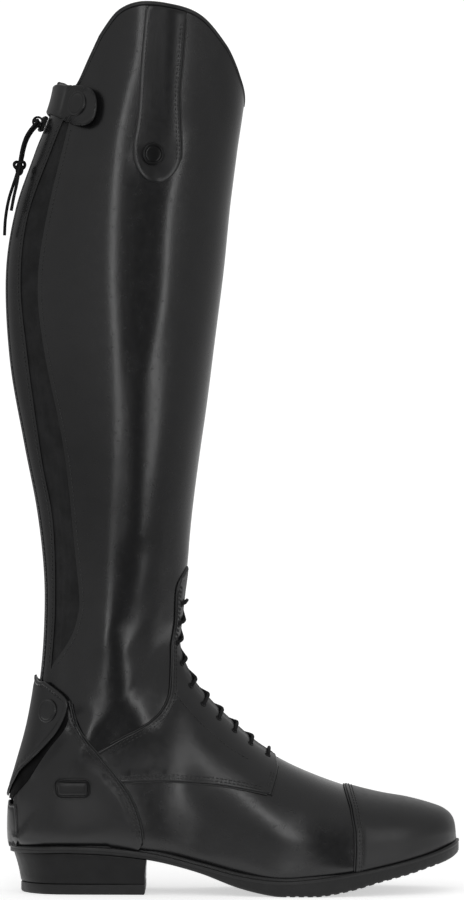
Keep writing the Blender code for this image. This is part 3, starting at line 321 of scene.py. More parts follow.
def read_rows(table, at):
    """All columns of a table at fractional rows, on a smooth curve through its rows."""
    at = np.asarray(at, dtype=float)
    last = len(table) - 1
    low = np.clip(np.floor(at).astype(int), 0, last - 1)
    part = (at - low)[..., None]
    start, stop = table[low], table[low + 1]
    lead_in = np.where((low > 0)[..., None], table[np.maximum(low - 1, 0)], 2 * start - stop)
    lead_out = np.where((low + 2 <= last)[..., None], table[np.minimum(low + 2, last)], 2 * stop - start)
    slope_in, slope_out = (stop - lead_in) / 2, (lead_out - start) / 2
    square, cube = part ** 2, part ** 3
    return ((2 * cube - 3 * square + 1) * start + (cube - 2 * square + part) * slope_in
            + (3 * square - 2 * cube) * stop + (cube - square) * slope_out)


def collar_height(turn):
    """Height of the finished collar at turns."""
    angle = np.minimum(np.abs(turn), 1.0) * 180
    heights = []
    for table in (COLLAR_OUTER, COLLAR_INNER):
        rows = np.interp(angle, table[:, 0], np.arange(len(table)))
        heights.append(read_rows(table, rows)[..., 1])
    return np.where(turn < 0, *heights)


def last_values(at, turn):
    """The last's columns at rows and turns, and the height of rows above the level one."""
    level = LAST[LEVEL_ROW][COLUMN["front_z"]]
    height = level + (at - LEVEL_ROW) * (collar_height(turn) - 2 * BINDING - level)
    raised = np.interp(height, LAST[LEVEL_ROW:, COLUMN["front_z"]], np.arange(LEVEL_ROW, len(LAST)))
    row = read_rows(LAST, np.where(at > LEVEL_ROW, raised, at))
    return {name: row[..., place] for name, place in COLUMN.items()}, height


def form_point(at, turn):
    """Points of the last at fractional rows and turns; a turn past an end goes on round the back."""
    at, turn = np.broadcast_arrays(np.asarray(at, dtype=float), np.asarray(turn, dtype=float))
    turn = np.where(turn < -1.0, turn + 2, np.where(turn > 1.0, turn - 2, turn))
    value, height = last_values(at, turn)
    outer = turn < 0
    side = np.where(outer, value["outer"], value["inner"])
    opening = np.maximum(np.where(outer, value["open_outer"], value["open_inner"]), 0.0)
    angle = np.abs(turn) * math.pi
    reach = np.minimum(np.abs(np.cos(angle)), 1.0)
    crowned = side * (1 - reach ** value["crown"]) ** (1 / value["crown"])
    tucked = opening + (side - opening) * (1 - reach ** value["tuck"]) ** (1 / value["tuck"])
    first = angle <= math.pi / 2
    width = np.where(first, crowned, tucked)
    widest = value["widest"]
    down = np.where(first, widest * (1 - reach), widest + (1 - widest) * reach)
    x = value["front_x"] + (value["end_x"] - value["front_x"]) * down
    z = value["front_z"] + (value["end_z"] - value["front_z"]) * down
    z = np.where(at > LEVEL_ROW, height, z)
    return np.stack([x, value["shift"] + np.where(outer, -width, width), z], axis=-1)


def slopes(at, turn):
    """Change of the last's points for a turn and for a row."""
    step = 0.004
    low, high = turn - step, turn + step
    below = at < HEEL_ROW
    low = np.where(below, np.maximum(low, -1.0), low)
    high = np.where(below, np.minimum(high, 1.0), high)
    across = (form_point(at, high) - form_point(at, low)) / (high - low)[..., None]
    under = np.maximum(at - step, 0.0)
    along = (form_point(at + step, turn) - form_point(under, turn)) / (at + step - under)[..., None]
    return across, along


def form_normal(at, turn):
    """Outward unit normals of the last."""
    at, turn = np.broadcast_arrays(np.asarray(at, dtype=float), np.asarray(turn, dtype=float))
    across, along = slopes(at, turn)
    normal = np.cross(across, along)
    normal[at < 0.01] = (1.0, 0.0, 0.0)
    return normal / np.linalg.norm(normal, axis=-1, keepdims=True)


def to_line(points, line, closed=False):
    """Distance of points to a line of straight pieces."""
    points, line = np.asarray(points), np.asarray(line, dtype=float)
    ends = np.roll(line, -1, axis=0) if closed else line[1:]
    nearest = np.full(points.shape[:-1], np.inf)
    for start, stop in zip(line, ends):
        run = stop - start
        share = np.clip(((points - start) @ run) / max(run @ run, 1e-9), 0.0, 1.0)
        gap = points - start - share[..., None] * run
        nearest = np.minimum(nearest, np.sqrt((gap ** 2).sum(axis=-1)))
    return nearest


def smooth_line(points, spacing):
    """Points at an even spacing on a smooth curve through the given ones."""
    table = np.array(points, dtype=float)
    rows = np.linspace(0, len(table) - 1, 40 * len(table))
    return even(read_rows(table, rows), spacing)


def even(line, spacing):
    """The same line with points at an even spacing."""
    steps = np.linalg.norm(np.diff(line, axis=0), axis=1)
    lengths = np.concatenate([[0.0], np.cumsum(steps)])
    count = max(2, round(lengths[-1] / spacing) + 1)
    places = np.linspace(0.0, lengths[-1], count)
    return np.stack([np.interp(places, lengths, column) for column in line.T], axis=-1)


FOLD_LINES = [(smooth_line(line, 4.0), width, height) for line, width, height in FOLDS]


def band(distance, middle=0.0, half=TROUGH_HALF):
    """Soft band across a distance, 1 at its middle."""
    return np.exp(-((distance - middle) / half) ** 2)


def step_at(distance, half):
    """Soft step from 0 to 1 across a distance."""
    return 1 / (1 + np.exp(-np.clip(distance / half, -40, 40)))


def relief(points):
    """Height of the creases over the last."""
    total = np.zeros(points.shape[:-1])
    for line, width, height in FOLD_LINES:
        total += height * band(to_line(points[..., [0, 2]], line), half=width)
    return total


def skin(at, turn, outset=0.0):
    """Points at a distance outside the creased last."""
    points = form_point(at, turn)
    height = np.asarray(outset) + relief(points)
    return points + form_normal(at, turn) * height[..., None]


def locate(places, axes=(0, 2), turns=OUTER_TURNS):
    """Rows and turns at which the last passes places given in two axes."""
    places = np.atleast_2d(np.asarray(places, dtype=float))
    axes = list(axes)
    steps = np.linspace(0.5, TOP_ROW, 230), np.linspace(*turns, 110)
    grid_at, grid_turn = np.meshgrid(*steps, indexing="ij")
    grid = form_point(grid_at, grid_turn)[..., axes].reshape(-1, 2)
    nearest = [int(np.argmin(((grid - place) ** 2).sum(axis=1))) for place in places]
    at, turn = grid_at.ravel()[nearest], grid_turn.ravel()[nearest]
    for _ in range(14):
        across, along = (slope[:, axes] for slope in slopes(at, turn))
        miss = places - form_point(at, turn)[:, axes]
        area = across[:, 0] * along[:, 1] - across[:, 1] * along[:, 0]
        area = np.where(np.abs(area) < 1e-3, 1e-3, area)
        turn_step = (miss[:, 0] * along[:, 1] - miss[:, 1] * along[:, 0]) / area
        row_step = (across[:, 0] * miss[:, 1] - across[:, 1] * miss[:, 0]) / area
        at = np.clip(at + np.clip(row_step, -0.4, 0.4), 0.3, TOP_ROW + 0.5)
        turn = np.clip(turn + np.clip(turn_step, -0.03, 0.03), *turns)
    return np.stack([at, turn], axis=-1)


def stroke(points, inner=False, spacing=2.5):
    """Chart line, rows and turns, of a smooth side-view line on the outer or the inner side."""
    return locate(smooth_line(points, spacing), turns=INNER_TURNS if inner else OUTER_TURNS)


def at_y(rows, y, back=False):
    """Chart line along rows at one distance from the middle plane, in front or at the back."""
    rows = np.asarray(rows, dtype=float)
    value, _ = last_values(rows, np.full(rows.shape, math.copysign(0.94, y)))
    name = "outer" if y < 0 else "inner"
    side, opening = value[name], np.maximum(value["open_" + name], 0.0)
    if back:
        share = np.clip((abs(y) - opening) / (side - opening), 0.0, 1.0)
        angle = math.pi - np.arccos((1 - share ** value["tuck"]) ** (1 / value["tuck"]))
    else:
        share = np.clip(abs(y) / side, 0.0, 1.0)
        angle = np.arccos((1 - share ** value["crown"]) ** (1 / value["crown"]))
    return np.stack([rows, np.copysign(angle / math.pi, y)], axis=-1)


def chart_run(start, stop, count):
    """Straight chart line between two places, without its last point."""
    share = np.linspace(0.0, 1.0, count, endpoint=False)[:, None]
    return np.asarray(start) + (np.asarray(stop) - np.asarray(start)) * share


def row_of(heights, column):
    """Rows at which the last's front or back line has given heights."""
    rows = np.linspace(0, LEVEL_ROW, 800)
    table = read_rows(LAST, rows)[:, COLUMN[column]]
    start = int(np.argmin(table))
    return np.interp(heights, table[start:], rows[start:])


def inset(outline, distance):
    """Chart line at a distance inside a closed chart outline."""
    at, turn = outline.T
    across, along = slopes(at, turn)
    normal = form_normal(at, turn)
    points = form_point(at, turn)
    run = np.roll(points, -1, axis=0) - np.roll(points, 1, axis=0)
    run /= np.linalg.norm(run, axis=1, keepdims=True)
    after = np.roll(outline, -1, axis=0)
    area = (outline[:, 1] * after[:, 0] - after[:, 1] * outline[:, 0]).sum()
    inward = np.cross(normal, run) * math.copysign(1.0, area)
    aa, al, ll = (across * across).sum(1), (across * along).sum(1), (along * along).sum(1)
    ab, lb = (across * inward).sum(1), (along * inward).sum(1)
    scale = aa * ll - al ** 2
    steps = np.stack([(aa * lb - al * ab) / scale, (ll * ab - al * lb) / scale], axis=-1)
    return outline + steps * distance


def inside(points, outline):
    """Whether chart points lie in a closed chart outline."""
    found = np.zeros(len(points), dtype=bool)
    for start, stop in zip(outline, np.roll(outline, -1, axis=0)):
        crosses = (start[0] > points[:, 0]) != (stop[0] > points[:, 0])
        with np.errstate(divide="ignore", invalid="ignore"):
            turn = start[1] + (points[:, 0] - start[0]) * (stop[1] - start[1]) / (stop[0] - start[0])
        found ^= crosses & (points[:, 1] < turn)
    return found


def grid_faces(index):
    """Faces between the rows of a grid of point numbers, without doubled corners."""
    rows = index.tolist()
    faces = []
    for low, high in zip(rows, rows[1:]):
        faces += [list(dict.fromkeys(corners)) for corners in zip(low, high, high[1:], low[1:])]
    return faces


def ring_index(sizes):
    """Grid of the point numbers of closed rings; a ring of one point is a tip."""
    starts = np.cumsum([0] + sizes[:-1])
    columns = np.arange(max(sizes) + 1)
    return np.array([start + columns % size for start, size in zip(starts, sizes)])


def turned_over(faces):
    """The same faces turned the other way."""
    return [face[:1] + face[:0:-1] for face in faces]


def face_outward(mesh):
    """Turns the faces of a closed mesh outward."""
    work = bmesh.new()
    work.from_mesh(mesh)
    bmesh.ops.recalc_face_normals(work, faces=work.faces)
    work.to_mesh(mesh)
    work.free()


def add_mesh(name, points, faces, material, nodes=(), slot="leather", sharp=50.0):
    """Adds a piece made of millimetre points, shaded smooth, that rides on the boot."""
    mesh = bpy.data.meshes.new(name)
    mesh.from_pydata(np.asarray(points) * MM, [], [list(map(int, face)) for face in faces])
    mesh.validate()
    return add_piece(name, mesh, material, nodes, sharp)


def add_piece(name, data, material, nodes=(), sharp=50.0):
    """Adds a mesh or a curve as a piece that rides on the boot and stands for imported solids."""
    piece = bpy.data.objects.new(name, data)
    bpy.context.scene.collection.objects.link(piece)
    if material:
        data.materials.append(material)
    if piece.type == "MESH":
        data.shade_smooth()
        data.set_sharp_from_angle(angle=math.radians(sharp))
    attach(piece, "root")
    if nodes:
        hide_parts(*nodes)
    return piece


def tube(name, lines, radius, material, nodes=(), sides=3):
    """Round cords along lines of millimetre points, in one curve."""
    curve = bpy.data.curves.new(name, "CURVE")
    curve.dimensions = "3D"
    curve.bevel_depth = radius * MM
    curve.bevel_resolution = sides
    curve.use_fill_caps = True
    for line in lines:
        spline = curve.splines.new("POLY")
        spline.points.add(len(line) - 1)
        for point, place in zip(spline.points, line):
            point.co = (*(Vector(place) * MM), 1.0)
        spline.use_smooth = True
    return add_piece(name, curve, material, nodes)


def stamp(points, faces, frames):
    """One mesh of many copies of a small shape, one for each frame of axes and place."""
    points = np.asarray(points, dtype=float)
    frames = np.asarray(frames)
    placed = np.einsum("nij,pj->npi", frames[:, :3, :3], points) + frames[:, None, :3, 3]
    shifts = np.arange(len(frames))[:, None] * len(points)
    all_faces = [[corner + shift for corner in face] for shift in shifts[:, 0] for face in faces]
    return placed.reshape(-1, 3), all_faces


def frames_on(line, normals):
    """Frames along a line on a surface: X along it, Z outward."""
    along = np.gradient(line, axis=0)
    along /= np.linalg.norm(along, axis=1, keepdims=True)
    side = np.cross(normals, along)
    side /= np.linalg.norm(side, axis=1, keepdims=True)
    up = np.cross(along, side)
    frames = np.zeros((len(line), 4, 4))
    frames[:, :3, 0], frames[:, :3, 1], frames[:, :3, 2], frames[:, :3, 3] = along, side, up, line
    frames[:, 3, 3] = 1.0
    return frames


def place_on(at, turn, outset):
    """Matrix in metres of a small piece that stands on the last, its own +Z outward."""
    point, normal = skin(at, turn, outset), form_normal(at, turn)
    turned = Vector(normal).to_track_quat("Z", "Y").to_matrix().to_4x4()
    return Matrix.Translation(Vector(point) * MM) @ turned


def rolled(distance, roll):
    """Share of a panel's thickness by the distance from its rolled edge."""
    part = 1 - np.clip(distance / roll, 0.0, 1.0)
    return 0.35 + 0.65 * np.sqrt(1 - part ** 2)


def dense(outline, spacing=2.5):
    """The same closed chart outline with no long gaps between its points."""
    points = form_point(*outline.T)
    gaps = np.linalg.norm(np.roll(points, -1, axis=0) - points, axis=1)
    runs = [chart_run(start, stop, max(1, math.ceil(gap / spacing)))
            for start, stop, gap in zip(outline, np.roll(outline, -1, axis=0), gaps)]
    return np.concatenate(runs)


def roll_out(at, turn):
    """Chart points laid flat beside the side view, true to length along each row."""
    side = np.where(turn > 0, 1.0, -1.0)
    middle = 0.5 * side
    steps = np.linspace(0.0, 1.0, 25)[:, None]
    path = form_point(np.broadcast_to(at, (len(steps), len(at))), middle + (turn - middle) * steps)
    length = np.linalg.norm(np.diff(path, axis=0), axis=2).sum(axis=0)
    forward = (form_point(at, 0.02 * side) - form_point(at, 0.98 * side))[:, [0, 2]]
    forward /= np.linalg.norm(forward, axis=1, keepdims=True)
    flat = path[0][:, [0, 2]] + forward * np.where(np.abs(turn) < 0.5, length, -length)[:, None]
    return flat * np.stack([-side, np.ones(len(at))], axis=-1)


def panel_chart(outline, edge, spacing):
    """Chart points of a panel: its outline, rings inside it, and a grid in its middle."""
    across, along = slopes(*outline.T)
    low, high = outline.min(axis=0), outline.max(axis=0)
    spans = np.array([np.linalg.norm(along, axis=1).mean(), np.linalg.norm(across, axis=1).mean()])
    counts = np.maximum(((high - low) * spans / spacing).astype(int), 2)
    rows, turns = (np.linspace(low[axis], high[axis], counts[axis] + 1) for axis in (0, 1))
    grid = np.stack(np.meshgrid(rows, turns, indexing="ij"), axis=-1).reshape(-1, 2)
    layers = [(inset(outline, far), RING_CLEAR * far) for far in EDGE_STEPS]
    layers.append((grid, EDGE_STEPS[-1] + GRID_CLEAR))
    chosen = [outline]
    for points, clear in layers:
        points = points[inside(points, outline)]
        if len(points):
            distance = to_line(form_point(*points.T), edge, closed=True)
            chosen.append(points[distance > clear])
    return np.concatenate(chosen)


def panel(name, outline, rise, thick, material, nodes, troughs=(), roll=ROLL, sink=0.3, spacing=2.6,
          shape=None, slot="leather", trough_depth=TROUGH, flat=roll_out, creased=True):
    """Closed panel inside a chart outline, with rolled edges and sewn troughs along them."""
    outline = dense(outline)
    edge = form_point(*outline.T)
    chart = panel_chart(outline, edge, spacing)
    ring = [(place, (place + 1) % len(outline)) for place in range(len(outline))]
    laid = [Vector(place) for place in flat(*chart.T)]
    _, _, faces, origins = delaunay_2d_cdt(laid, ring, [], 1, 1e-5)[:4]
    at, turn = chart[[origin[0] for origin in origins]].T
    distance = to_line(form_point(at, turn), edge, closed=True)
    height = thick * rolled(distance, roll)
    for trough in troughs:
        height = height - trough_depth * band(distance, trough)
    shaped = shape(at, turn, distance) if shape else np.zeros(at.shape)
    base = 0.0 if creased else -relief(form_point(at, turn))
    top = skin(at, turn, base + rise + (height + shaped))
    bottom = skin(at, turn, base + (rise - sink + shaped * (rise > FREE_RISE)))
    count = len(top)
    faces = [list(face) for face in faces]
    sides = dict.fromkeys(side for face in faces for side in zip(face, face[1:] + face[:1]))
    walls = [[stop, start, start + count, stop + count] for start, stop in sides
             if (stop, start) not in sides]
    under = [[corner + count for corner in reversed(face)] for face in faces]
    return add_mesh(name, np.concatenate([top, bottom]), faces + under + walls, material, nodes, slot)


def prism(name, outline, low, high, axis=1):
    """Hidden cutter with a closed side-view outline between two Y, or a back-view one between two X."""
    count = len(outline)
    points = []
    for depth in (low, high):
        for across, up in outline:
            points.append((across, depth, up) if axis == 1 else (depth, across, up))
    faces = [list(range(count)), list(range(2 * count - 1, count - 1, -1))]
    faces += [[place, place + count, (place + 1) % count + count, (place + 1) % count]
              for place in range(count)]
    mesh = bpy.data.meshes.new(name)
    mesh.from_pydata(np.array(points) * MM, [], faces)
    face_outward(mesh)
    return bpy.data.objects.new(name, mesh)


def cut_out(piece, cutters):
    """Cuts hidden cutters out of a piece and keeps the result as its mesh."""
    for cutter in cutters:
        bpy.context.scene.collection.objects.link(cutter)
        boolean = piece.modifiers.new(cutter.name, "BOOLEAN")
        boolean.operation = "DIFFERENCE"
        boolean.object = cutter
    bpy.context.view_layer.update()
    seen = piece.evaluated_get(bpy.context.evaluated_depsgraph_get())
    mesh = bpy.data.meshes.new_from_object(seen)
    piece.modifiers.clear()
    for cutter in cutters:
        bpy.data.objects.remove(cutter)
    return mesh


def ring_loft(name, rings, material, nodes, slot="rubber", capped=True, sharp=40.0):
    """Piece through closed rings of points, capped at both ends or joined end to end."""
    index = ring_index([len(ring) for ring in rings])
    if capped:
        faces = [index[0, :-1], index[-1, -2::-1]]
    else:
        faces = []
        index = np.concatenate([index, index[:1]])
    piece = add_mesh(name, np.concatenate(rings), faces + grid_faces(index), material, nodes, slot)
    face_outward(piece.data)
    piece.data.set_sharp_from_angle(angle=math.radians(sharp))
    return piece


def fill(tree, node, inputs):
    """Sets a shader node's inputs to values, or links them to other nodes' outputs."""
    for key, value in inputs.items():
        if isinstance(value, bpy.types.NodeSocket):
            tree.links.new(value, node.inputs[key])
        else:
            node.inputs[key].default_value = value
    return node


def add_node(tree, kind, inputs, **settings):
    """Adds a shader node with its settings and inputs."""
    node = tree.nodes.new(kind)
    for key, value in settings.items():
        setattr(node, key, value)
    return fill(tree, node, inputs)


def material(name, colour, roughness, spread=0.05, grain=900.0, depth=0.1, wave=0.0, specular=0.5,
             ribs=None, vary=0.25):
    """Procedural material: mottled colour and gloss over a fine grain and a slow wave."""
    made = bpy.data.materials.new(name)
    made.use_nodes = True
    tree = made.node_tree
    place = tree.nodes.new("ShaderNodeTexCoord").outputs["Object"]

    def texture(kind, output, settings=(), **inputs):
        return add_node(tree, kind, {"Vector": place, **inputs}, **dict(settings)).outputs[output]

    mottle = texture("ShaderNodeTexNoise", "Fac", Scale=90.0, Detail=4.0)
    ramp = add_node(tree, "ShaderNodeValToRGB", {"Fac": mottle})
    stops = zip(ramp.color_ramp.elements, (0.35, 0.65), (1 - vary, 1 + vary))
    for stop, position, share in stops:
        stop.position = position
        stop.color = (*(min(1.0, part * share) for part in colour), 1.0)
    gloss = texture("ShaderNodeTexNoise", "Fac", Scale=260.0, Detail=3.0)
    spans = add_node(tree, "ShaderNodeMapRange", {
        "Value": gloss, "From Min": 0.3, "From Max": 0.7,
        "To Min": roughness - spread, "To Max": roughness + spread})

    layers = [(texture("ShaderNodeTexVoronoi", "Distance", Scale=grain), depth, 0.00025)]
    if wave:
        layers.append((texture("ShaderNodeTexNoise", "Fac", Scale=45.0, Detail=2.0), wave, 0.004))
    if ribs:
        rows = texture("ShaderNodeTexWave", "Fac", {"bands_direction": "Z"}, Scale=ribs)
        layers.append((rows, 0.5, 0.0003))
    below = {}
    for height, strength, distance in layers:
        bump = {"Height": height, "Strength": strength, "Distance": distance}
        below = {"Normal": add_node(tree, "ShaderNodeBump", {**bump, **below}).outputs["Normal"]}
    fill(tree, tree.nodes["Principled BSDF"], {
        "Base Color": ramp.outputs["Color"], "Roughness": spans.outputs["Result"],
        "Specular IOR Level": specular, **below})
    return made


BLACK = (0.0085, 0.0085, 0.009)
LEATHER = material("leather_black", BLACK, 0.25, spread=0.03, grain=1800.0, depth=0.07, wave=0.03,
                   vary=0.12)
PANEL_LEATHER = material("leather_panel", BLACK, 0.31, spread=0.03, grain=1800.0, depth=0.08, wave=0.03,
                         vary=0.12)
TOE_LEATHER = material("leather_toe", BLACK, 0.40, spread=0.03, grain=1800.0, depth=0.08, vary=0.12)
EDGE_LEATHER = material("leather_edge", (0.009, 0.009, 0.0095), 0.42, grain=1200.0, depth=0.12)
LINING = material("lining_leather", (0.035, 0.033, 0.031), 0.62, grain=700.0, depth=0.25)
# Nearly black, dull material of the sheet under the ankle flap's lower edge: painted shade standing for the
# shadowed gap there
FLAP_PAINTED_SHADE = material("painted_shade_dark", (0.003, 0.003, 0.0032), 0.7, grain=1400.0, depth=0.2, specular=0.1)
THREAD = material("thread_black", (0.020, 0.020, 0.0205), 0.55, grain=3000.0, depth=0.3)
ELASTIC = material("elastic_weave", (0.0165, 0.0165, 0.017), 0.82, grain=2200.0, depth=0.5, ribs=420.0,
                   specular=0.3)
RUBBER = material("rubber_black", (0.007, 0.007, 0.0073), 0.42, grain=500.0, depth=0.12, specular=0.4)
HEEL = material("rubber_heel", (0.006, 0.006, 0.0063), 0.42, grain=500.0, depth=0.12, specular=0.22)
TREAD = material("rubber_tread", (0.005, 0.005, 0.0053), 0.5, grain=700.0, depth=0.3, specular=0.35)
BRAID = material("lace_braid", (0.006, 0.006, 0.0065), 0.78, grain=1500.0, depth=0.6, specular=0.3)
TAPE = material("zip_tape", (0.008, 0.008, 0.0085), 0.80, grain=1800.0, depth=0.5, specular=0.3)
TEETH = material("zip_teeth", (0.010, 0.010, 0.011), 0.35, grain=900.0, depth=0.05)
LACQUER = material("lacquered_metal", (0.004, 0.004, 0.0043), 0.32, spread=0.03, grain=600.0, depth=0.03,
                   specular=0.25)
ENAMEL = material("enamelled_metal", (0.008, 0.008, 0.0085), 0.34, spread=0.03, grain=600.0, depth=0.05)


def make_camera():
    """Camera at the photograph's angle: far off, level, looking along +Y."""
    data = bpy.data.cameras.new("camera")
    data.sensor_fit = "VERTICAL"
    data.sensor_height = CAMERA_SENSOR
    data.lens = CAMERA_LENS
    camera = bpy.data.objects.new("camera", data)
    camera.location = CAMERA_PLACE
    camera.rotation_euler = (math.pi / 2, 0.0, 0.0)
    bpy.context.scene.collection.objects.link(camera)
    bpy.context.scene.camera = camera


def make_cords():
    """Pull cord: two limp strands from the slider's bail through a knot, each with a bare tail."""
    eye_at, eye_turn = locate([(ZIP_Y, SLIDER_Z)], (1, 2), ZIP_TURNS)[0]
    eye = form_point(eye_at, eye_turn) + form_normal(eye_at, eye_turn) * EYE_OUTSET
    turns = np.linspace(0.0, 2 * math.pi, 90, endpoint=False)
    trefoil = np.stack([np.sin(turns) + 2 * np.sin(2 * turns), 1.15 * np.sin(3 * turns),
                        np.cos(turns) - 2 * np.cos(2 * turns)], axis=-1)
    loops = KNOT + trefoil * KNOT_SIZE
    loops = np.concatenate([loops, loops[:2]])
    knot_piece = tube("pull_knot_overhand", [loops], CORD, BRAID, ["pull_knot"])
    bow = [KNOT + place for place in PULL_BOW]
    upper = [eye + (0.3, -0.4, 0.6), eye + (-1.8, -1.4, 0.6)]
    upper += [place + (-0.5, -0.9, 0.5) for place in bow] + [KNOT + (-0.4, -0.6, 0.0)]
    lower = [eye + (0.3, 0.4, 0.6), eye + (-1.6, 1.2, 0.2)]
    lower += [place + (0.5, 0.9, -0.5) for place in bow] + [KNOT + (0.2, -1.6, -0.6)]
    strands = (
        ("pull_cord_long", upper + LONG_TAIL, ["pull_loop", "pull_tail_long"], [knot_piece]),
        ("pull_cord_short", lower + SHORT_TAIL, ["pull_tail_short"], []),
    )
    for name, route, nodes, with_pieces in strands:
        line = smooth_line(route, 3.0)
        piece = tube(name, [line], CORD, BRAID, nodes)


def upper_rows():
    """Rows of the upper's mesh, closer where the leather bends more."""
    toe = np.concatenate([[0.0, 0.1, 0.25, 0.45, 0.7], np.arange(1.0, 5.0, 0.2)])
    foot = np.arange(5.0, HEEL_ROW, 0.125)
    shaft = np.arange(HEEL_ROW, LEVEL_ROW, 0.1)
    return np.concatenate([toe, foot, shaft, np.linspace(LEVEL_ROW, TOP_ROW, 26)])


def upper_cutters():
    """Hidden cutters for the throat, the zip slot and the elastic gore."""
    throat = [(THROAT_FRONT, 120.0), (THROAT_FRONT, 62.0), (45.0, 110.0), (45.0, THROAT_TOP),
              (100.0, THROAT_TOP)]
    left, right = ZIP_Y - ZIP_HALF, ZIP_Y + ZIP_HALF
    slot = [(left, ZIP_LOW), (right, ZIP_LOW), (right, 600.0), (left, 600.0)]
    back, front = smooth_line(ELASTIC_BACK, 4.0), smooth_line(ELASTIC_FRONT, 4.0)
    gore = np.concatenate([back + (0.6, 0.0), front[1:] - (0.6, 0.0)])
    return [prism("throat", throat, -THROAT_HALF, THROAT_HALF),
            prism("slot", slot, -90.0, 0.0, axis=0), prism("gore", gore, -90.0, 0.0)]


def make_upper():
    """Hollow leather wall with its lining, open at the throat, the zip and the elastic."""
    rows = upper_rows()
    at, turn = np.meshgrid(rows, np.linspace(-1.0, 1.0, 161), indexing="ij")
    points = skin(at, turn).reshape(-1, 3)
    index = np.arange(len(points)).reshape(at.shape)
    index[0, :] = 0
    index[rows >= HEEL_ROW, -1] = index[rows >= HEEL_ROW, 0]
    mesh = bpy.data.meshes.new("upper_blank")
    mesh.from_pydata(points * MM, [], turned_over(grid_faces(index)))
    work = bmesh.new()
    work.from_mesh(mesh)
    bmesh.ops.delete(work, geom=[vert for vert in work.verts if not vert.link_faces], context="VERTS")
    work.to_mesh(mesh)
    work.free()
    mesh.materials.append(LEATHER)
    mesh.materials.append(LINING)
    blank = bpy.data.objects.new("upper_blank", mesh)
    bpy.context.scene.collection.objects.link(blank)
    solid = blank.modifiers.new("Thickness", "SOLIDIFY")
    solid.thickness = WALL * MM
    solid.offset = -1.0
    solid.use_even_offset = True
    solid.material_offset = 1
    mesh = cut_out(blank, upper_cutters())
    bpy.data.objects.remove(blank)
    mesh.name = "upper_leather"
    add_piece("upper_leather", mesh, None, ["upper"], sharp=45.0)


SEWN = []
SEAMS = []


def sew(chart, outset):
    """Keeps a row of stitches along a chart line."""
    points = skin(*chart.T, outset)
    normals = form_normal(*chart.T)
    both = even(np.concatenate([points, normals * 0.01], axis=1), STITCH_PITCH)
    if len(both) > 3:
        SEWN.append(frames_on(both[:, :3], both[:, 3:]))


def keep_seam(chart, outset=0.45):
    """Keeps a dark seam line along a chart line, at the foot of a panel's edge."""
    SEAMS.append(even(skin(*chart.T, outset), 1.5))


def make_stitches():
    """All the stitches as one piece, short threads sunk at their ends, and the seam lines as another."""
    angles = 2 * math.pi * np.arange(STITCH_SIDES) / STITCH_SIDES
    points = []
    for x, radius, lift in STITCH:
        points += [(x, radius * math.cos(angle), lift + STITCH_FLAT * radius * math.sin(angle))
                   for angle in (angles if radius else angles[:1])]
    index = ring_index([STITCH_SIDES if radius else 1 for _, radius, _ in STITCH])
    faces = turned_over(grid_faces(index))
    add_mesh("stitches", *stamp(points, faces, np.concatenate(SEWN)), THREAD)
    tube("seam_lines", SEAMS, SEAM, EDGE_LEATHER, sides=2)


def mirrored(chart):
    """The same chart line on the other side, for panels that don't reach the collar."""
    return chart * (1.0, -1.0)


def along_feather(start, stop):
    """Chart line along the outer feather line between two rows."""
    rows = np.arange(start + 0.1, stop, 0.15)
    return np.stack([rows, np.full(rows.shape, OUTER_TURNS[0])], axis=-1)


def make_counters():
    """Heel counters with a double-stitched front edge."""
    edge = stroke(COUNTER_EDGE)
    low = along_feather(edge[-1, 0], 14.8)
    for side, label, y in ((1.0, "outer", ZIP_Y - ZIP_HALF - 0.6), (-1.0, "inner", -3.0)):
        back = at_y(np.arange(15.0, 19.75, 0.1), y, back=True)
        top = chart_run(back[-1] + (0.08, 0.0), edge[0], 9)
        outline = np.concatenate([edge, low, back, top]) * (1.0, side)
        panel("counter_" + label + "_leather", outline, 0.0, COUNTER_FACE, PANEL_LEATHER,
              ["counter_" + label], troughs=COUNTER_ROWS, trough_depth=0.6)
        for distance in COUNTER_ROWS:
            sew(inset(outline, distance)[4:len(edge) - 2], COUNTER_FACE - 0.2)
        keep_seam(inset(outline, -0.4)[1:len(edge) - 1], 1.2)


def shown_part(chart):
    """The part of a chart line that the counter doesn't cover."""
    return chart[form_point(*chart.T)[:, 0] > SEWN_FROM]


def make_quarters():
    """Quarters that carry the lace facing, with stitched edges."""
    seam = stroke(SEAM_EDGE)
    throat = at_y(np.arange(18.5, 8.3, -0.11), -THROAT_HALF - 0.3)
    front, low = stroke(QUARTER_FRONT), stroke(QUARTER_LOW)[1:]
    rise = chart_run(low[-1], seam[0], 8)[1:]
    facing = stroke(FACING_SEAM)
    parts = [seam, throat, front, low, rise]
    starts = np.cumsum([0] + [len(part) for part in parts])
    sewn = ((0, starts[1] - 2), (starts[2] + 2, starts[3] - 2), (starts[3] + 2, starts[4]))
    seamed = ((0, starts[1] - 1), (starts[2], starts[3]), (starts[3], starts[4]))
    for side, label in ((1.0, "outer"), (-1.0, "inner")):
        outline = np.concatenate(parts) * (1.0, side)
        crease = form_point(facing[:, 0], facing[:, 1] * side)

        def channel(at, turn, distance):
            return -FACING_DEPTH * band(to_line(form_point(at, turn), crease), half=CHANNEL_HALF)

        panel("quarter_" + label + "_leather", outline, 0.0, FACE, PANEL_LEATHER, ["quarter_" + label],
              troughs=QUARTER_ROWS, shape=channel)
        for distance in QUARTER_ROWS:
            line = inset(outline, distance)
            for start, stop in sewn:
                sew(shown_part(line[start:stop]), FACE - 0.08)
        sew(facing * (1.0, side), FACE - 0.1)
        line = inset(outline, -0.4)
        for start, stop in seamed:
            keep_seam(shown_part(line[start:stop]))


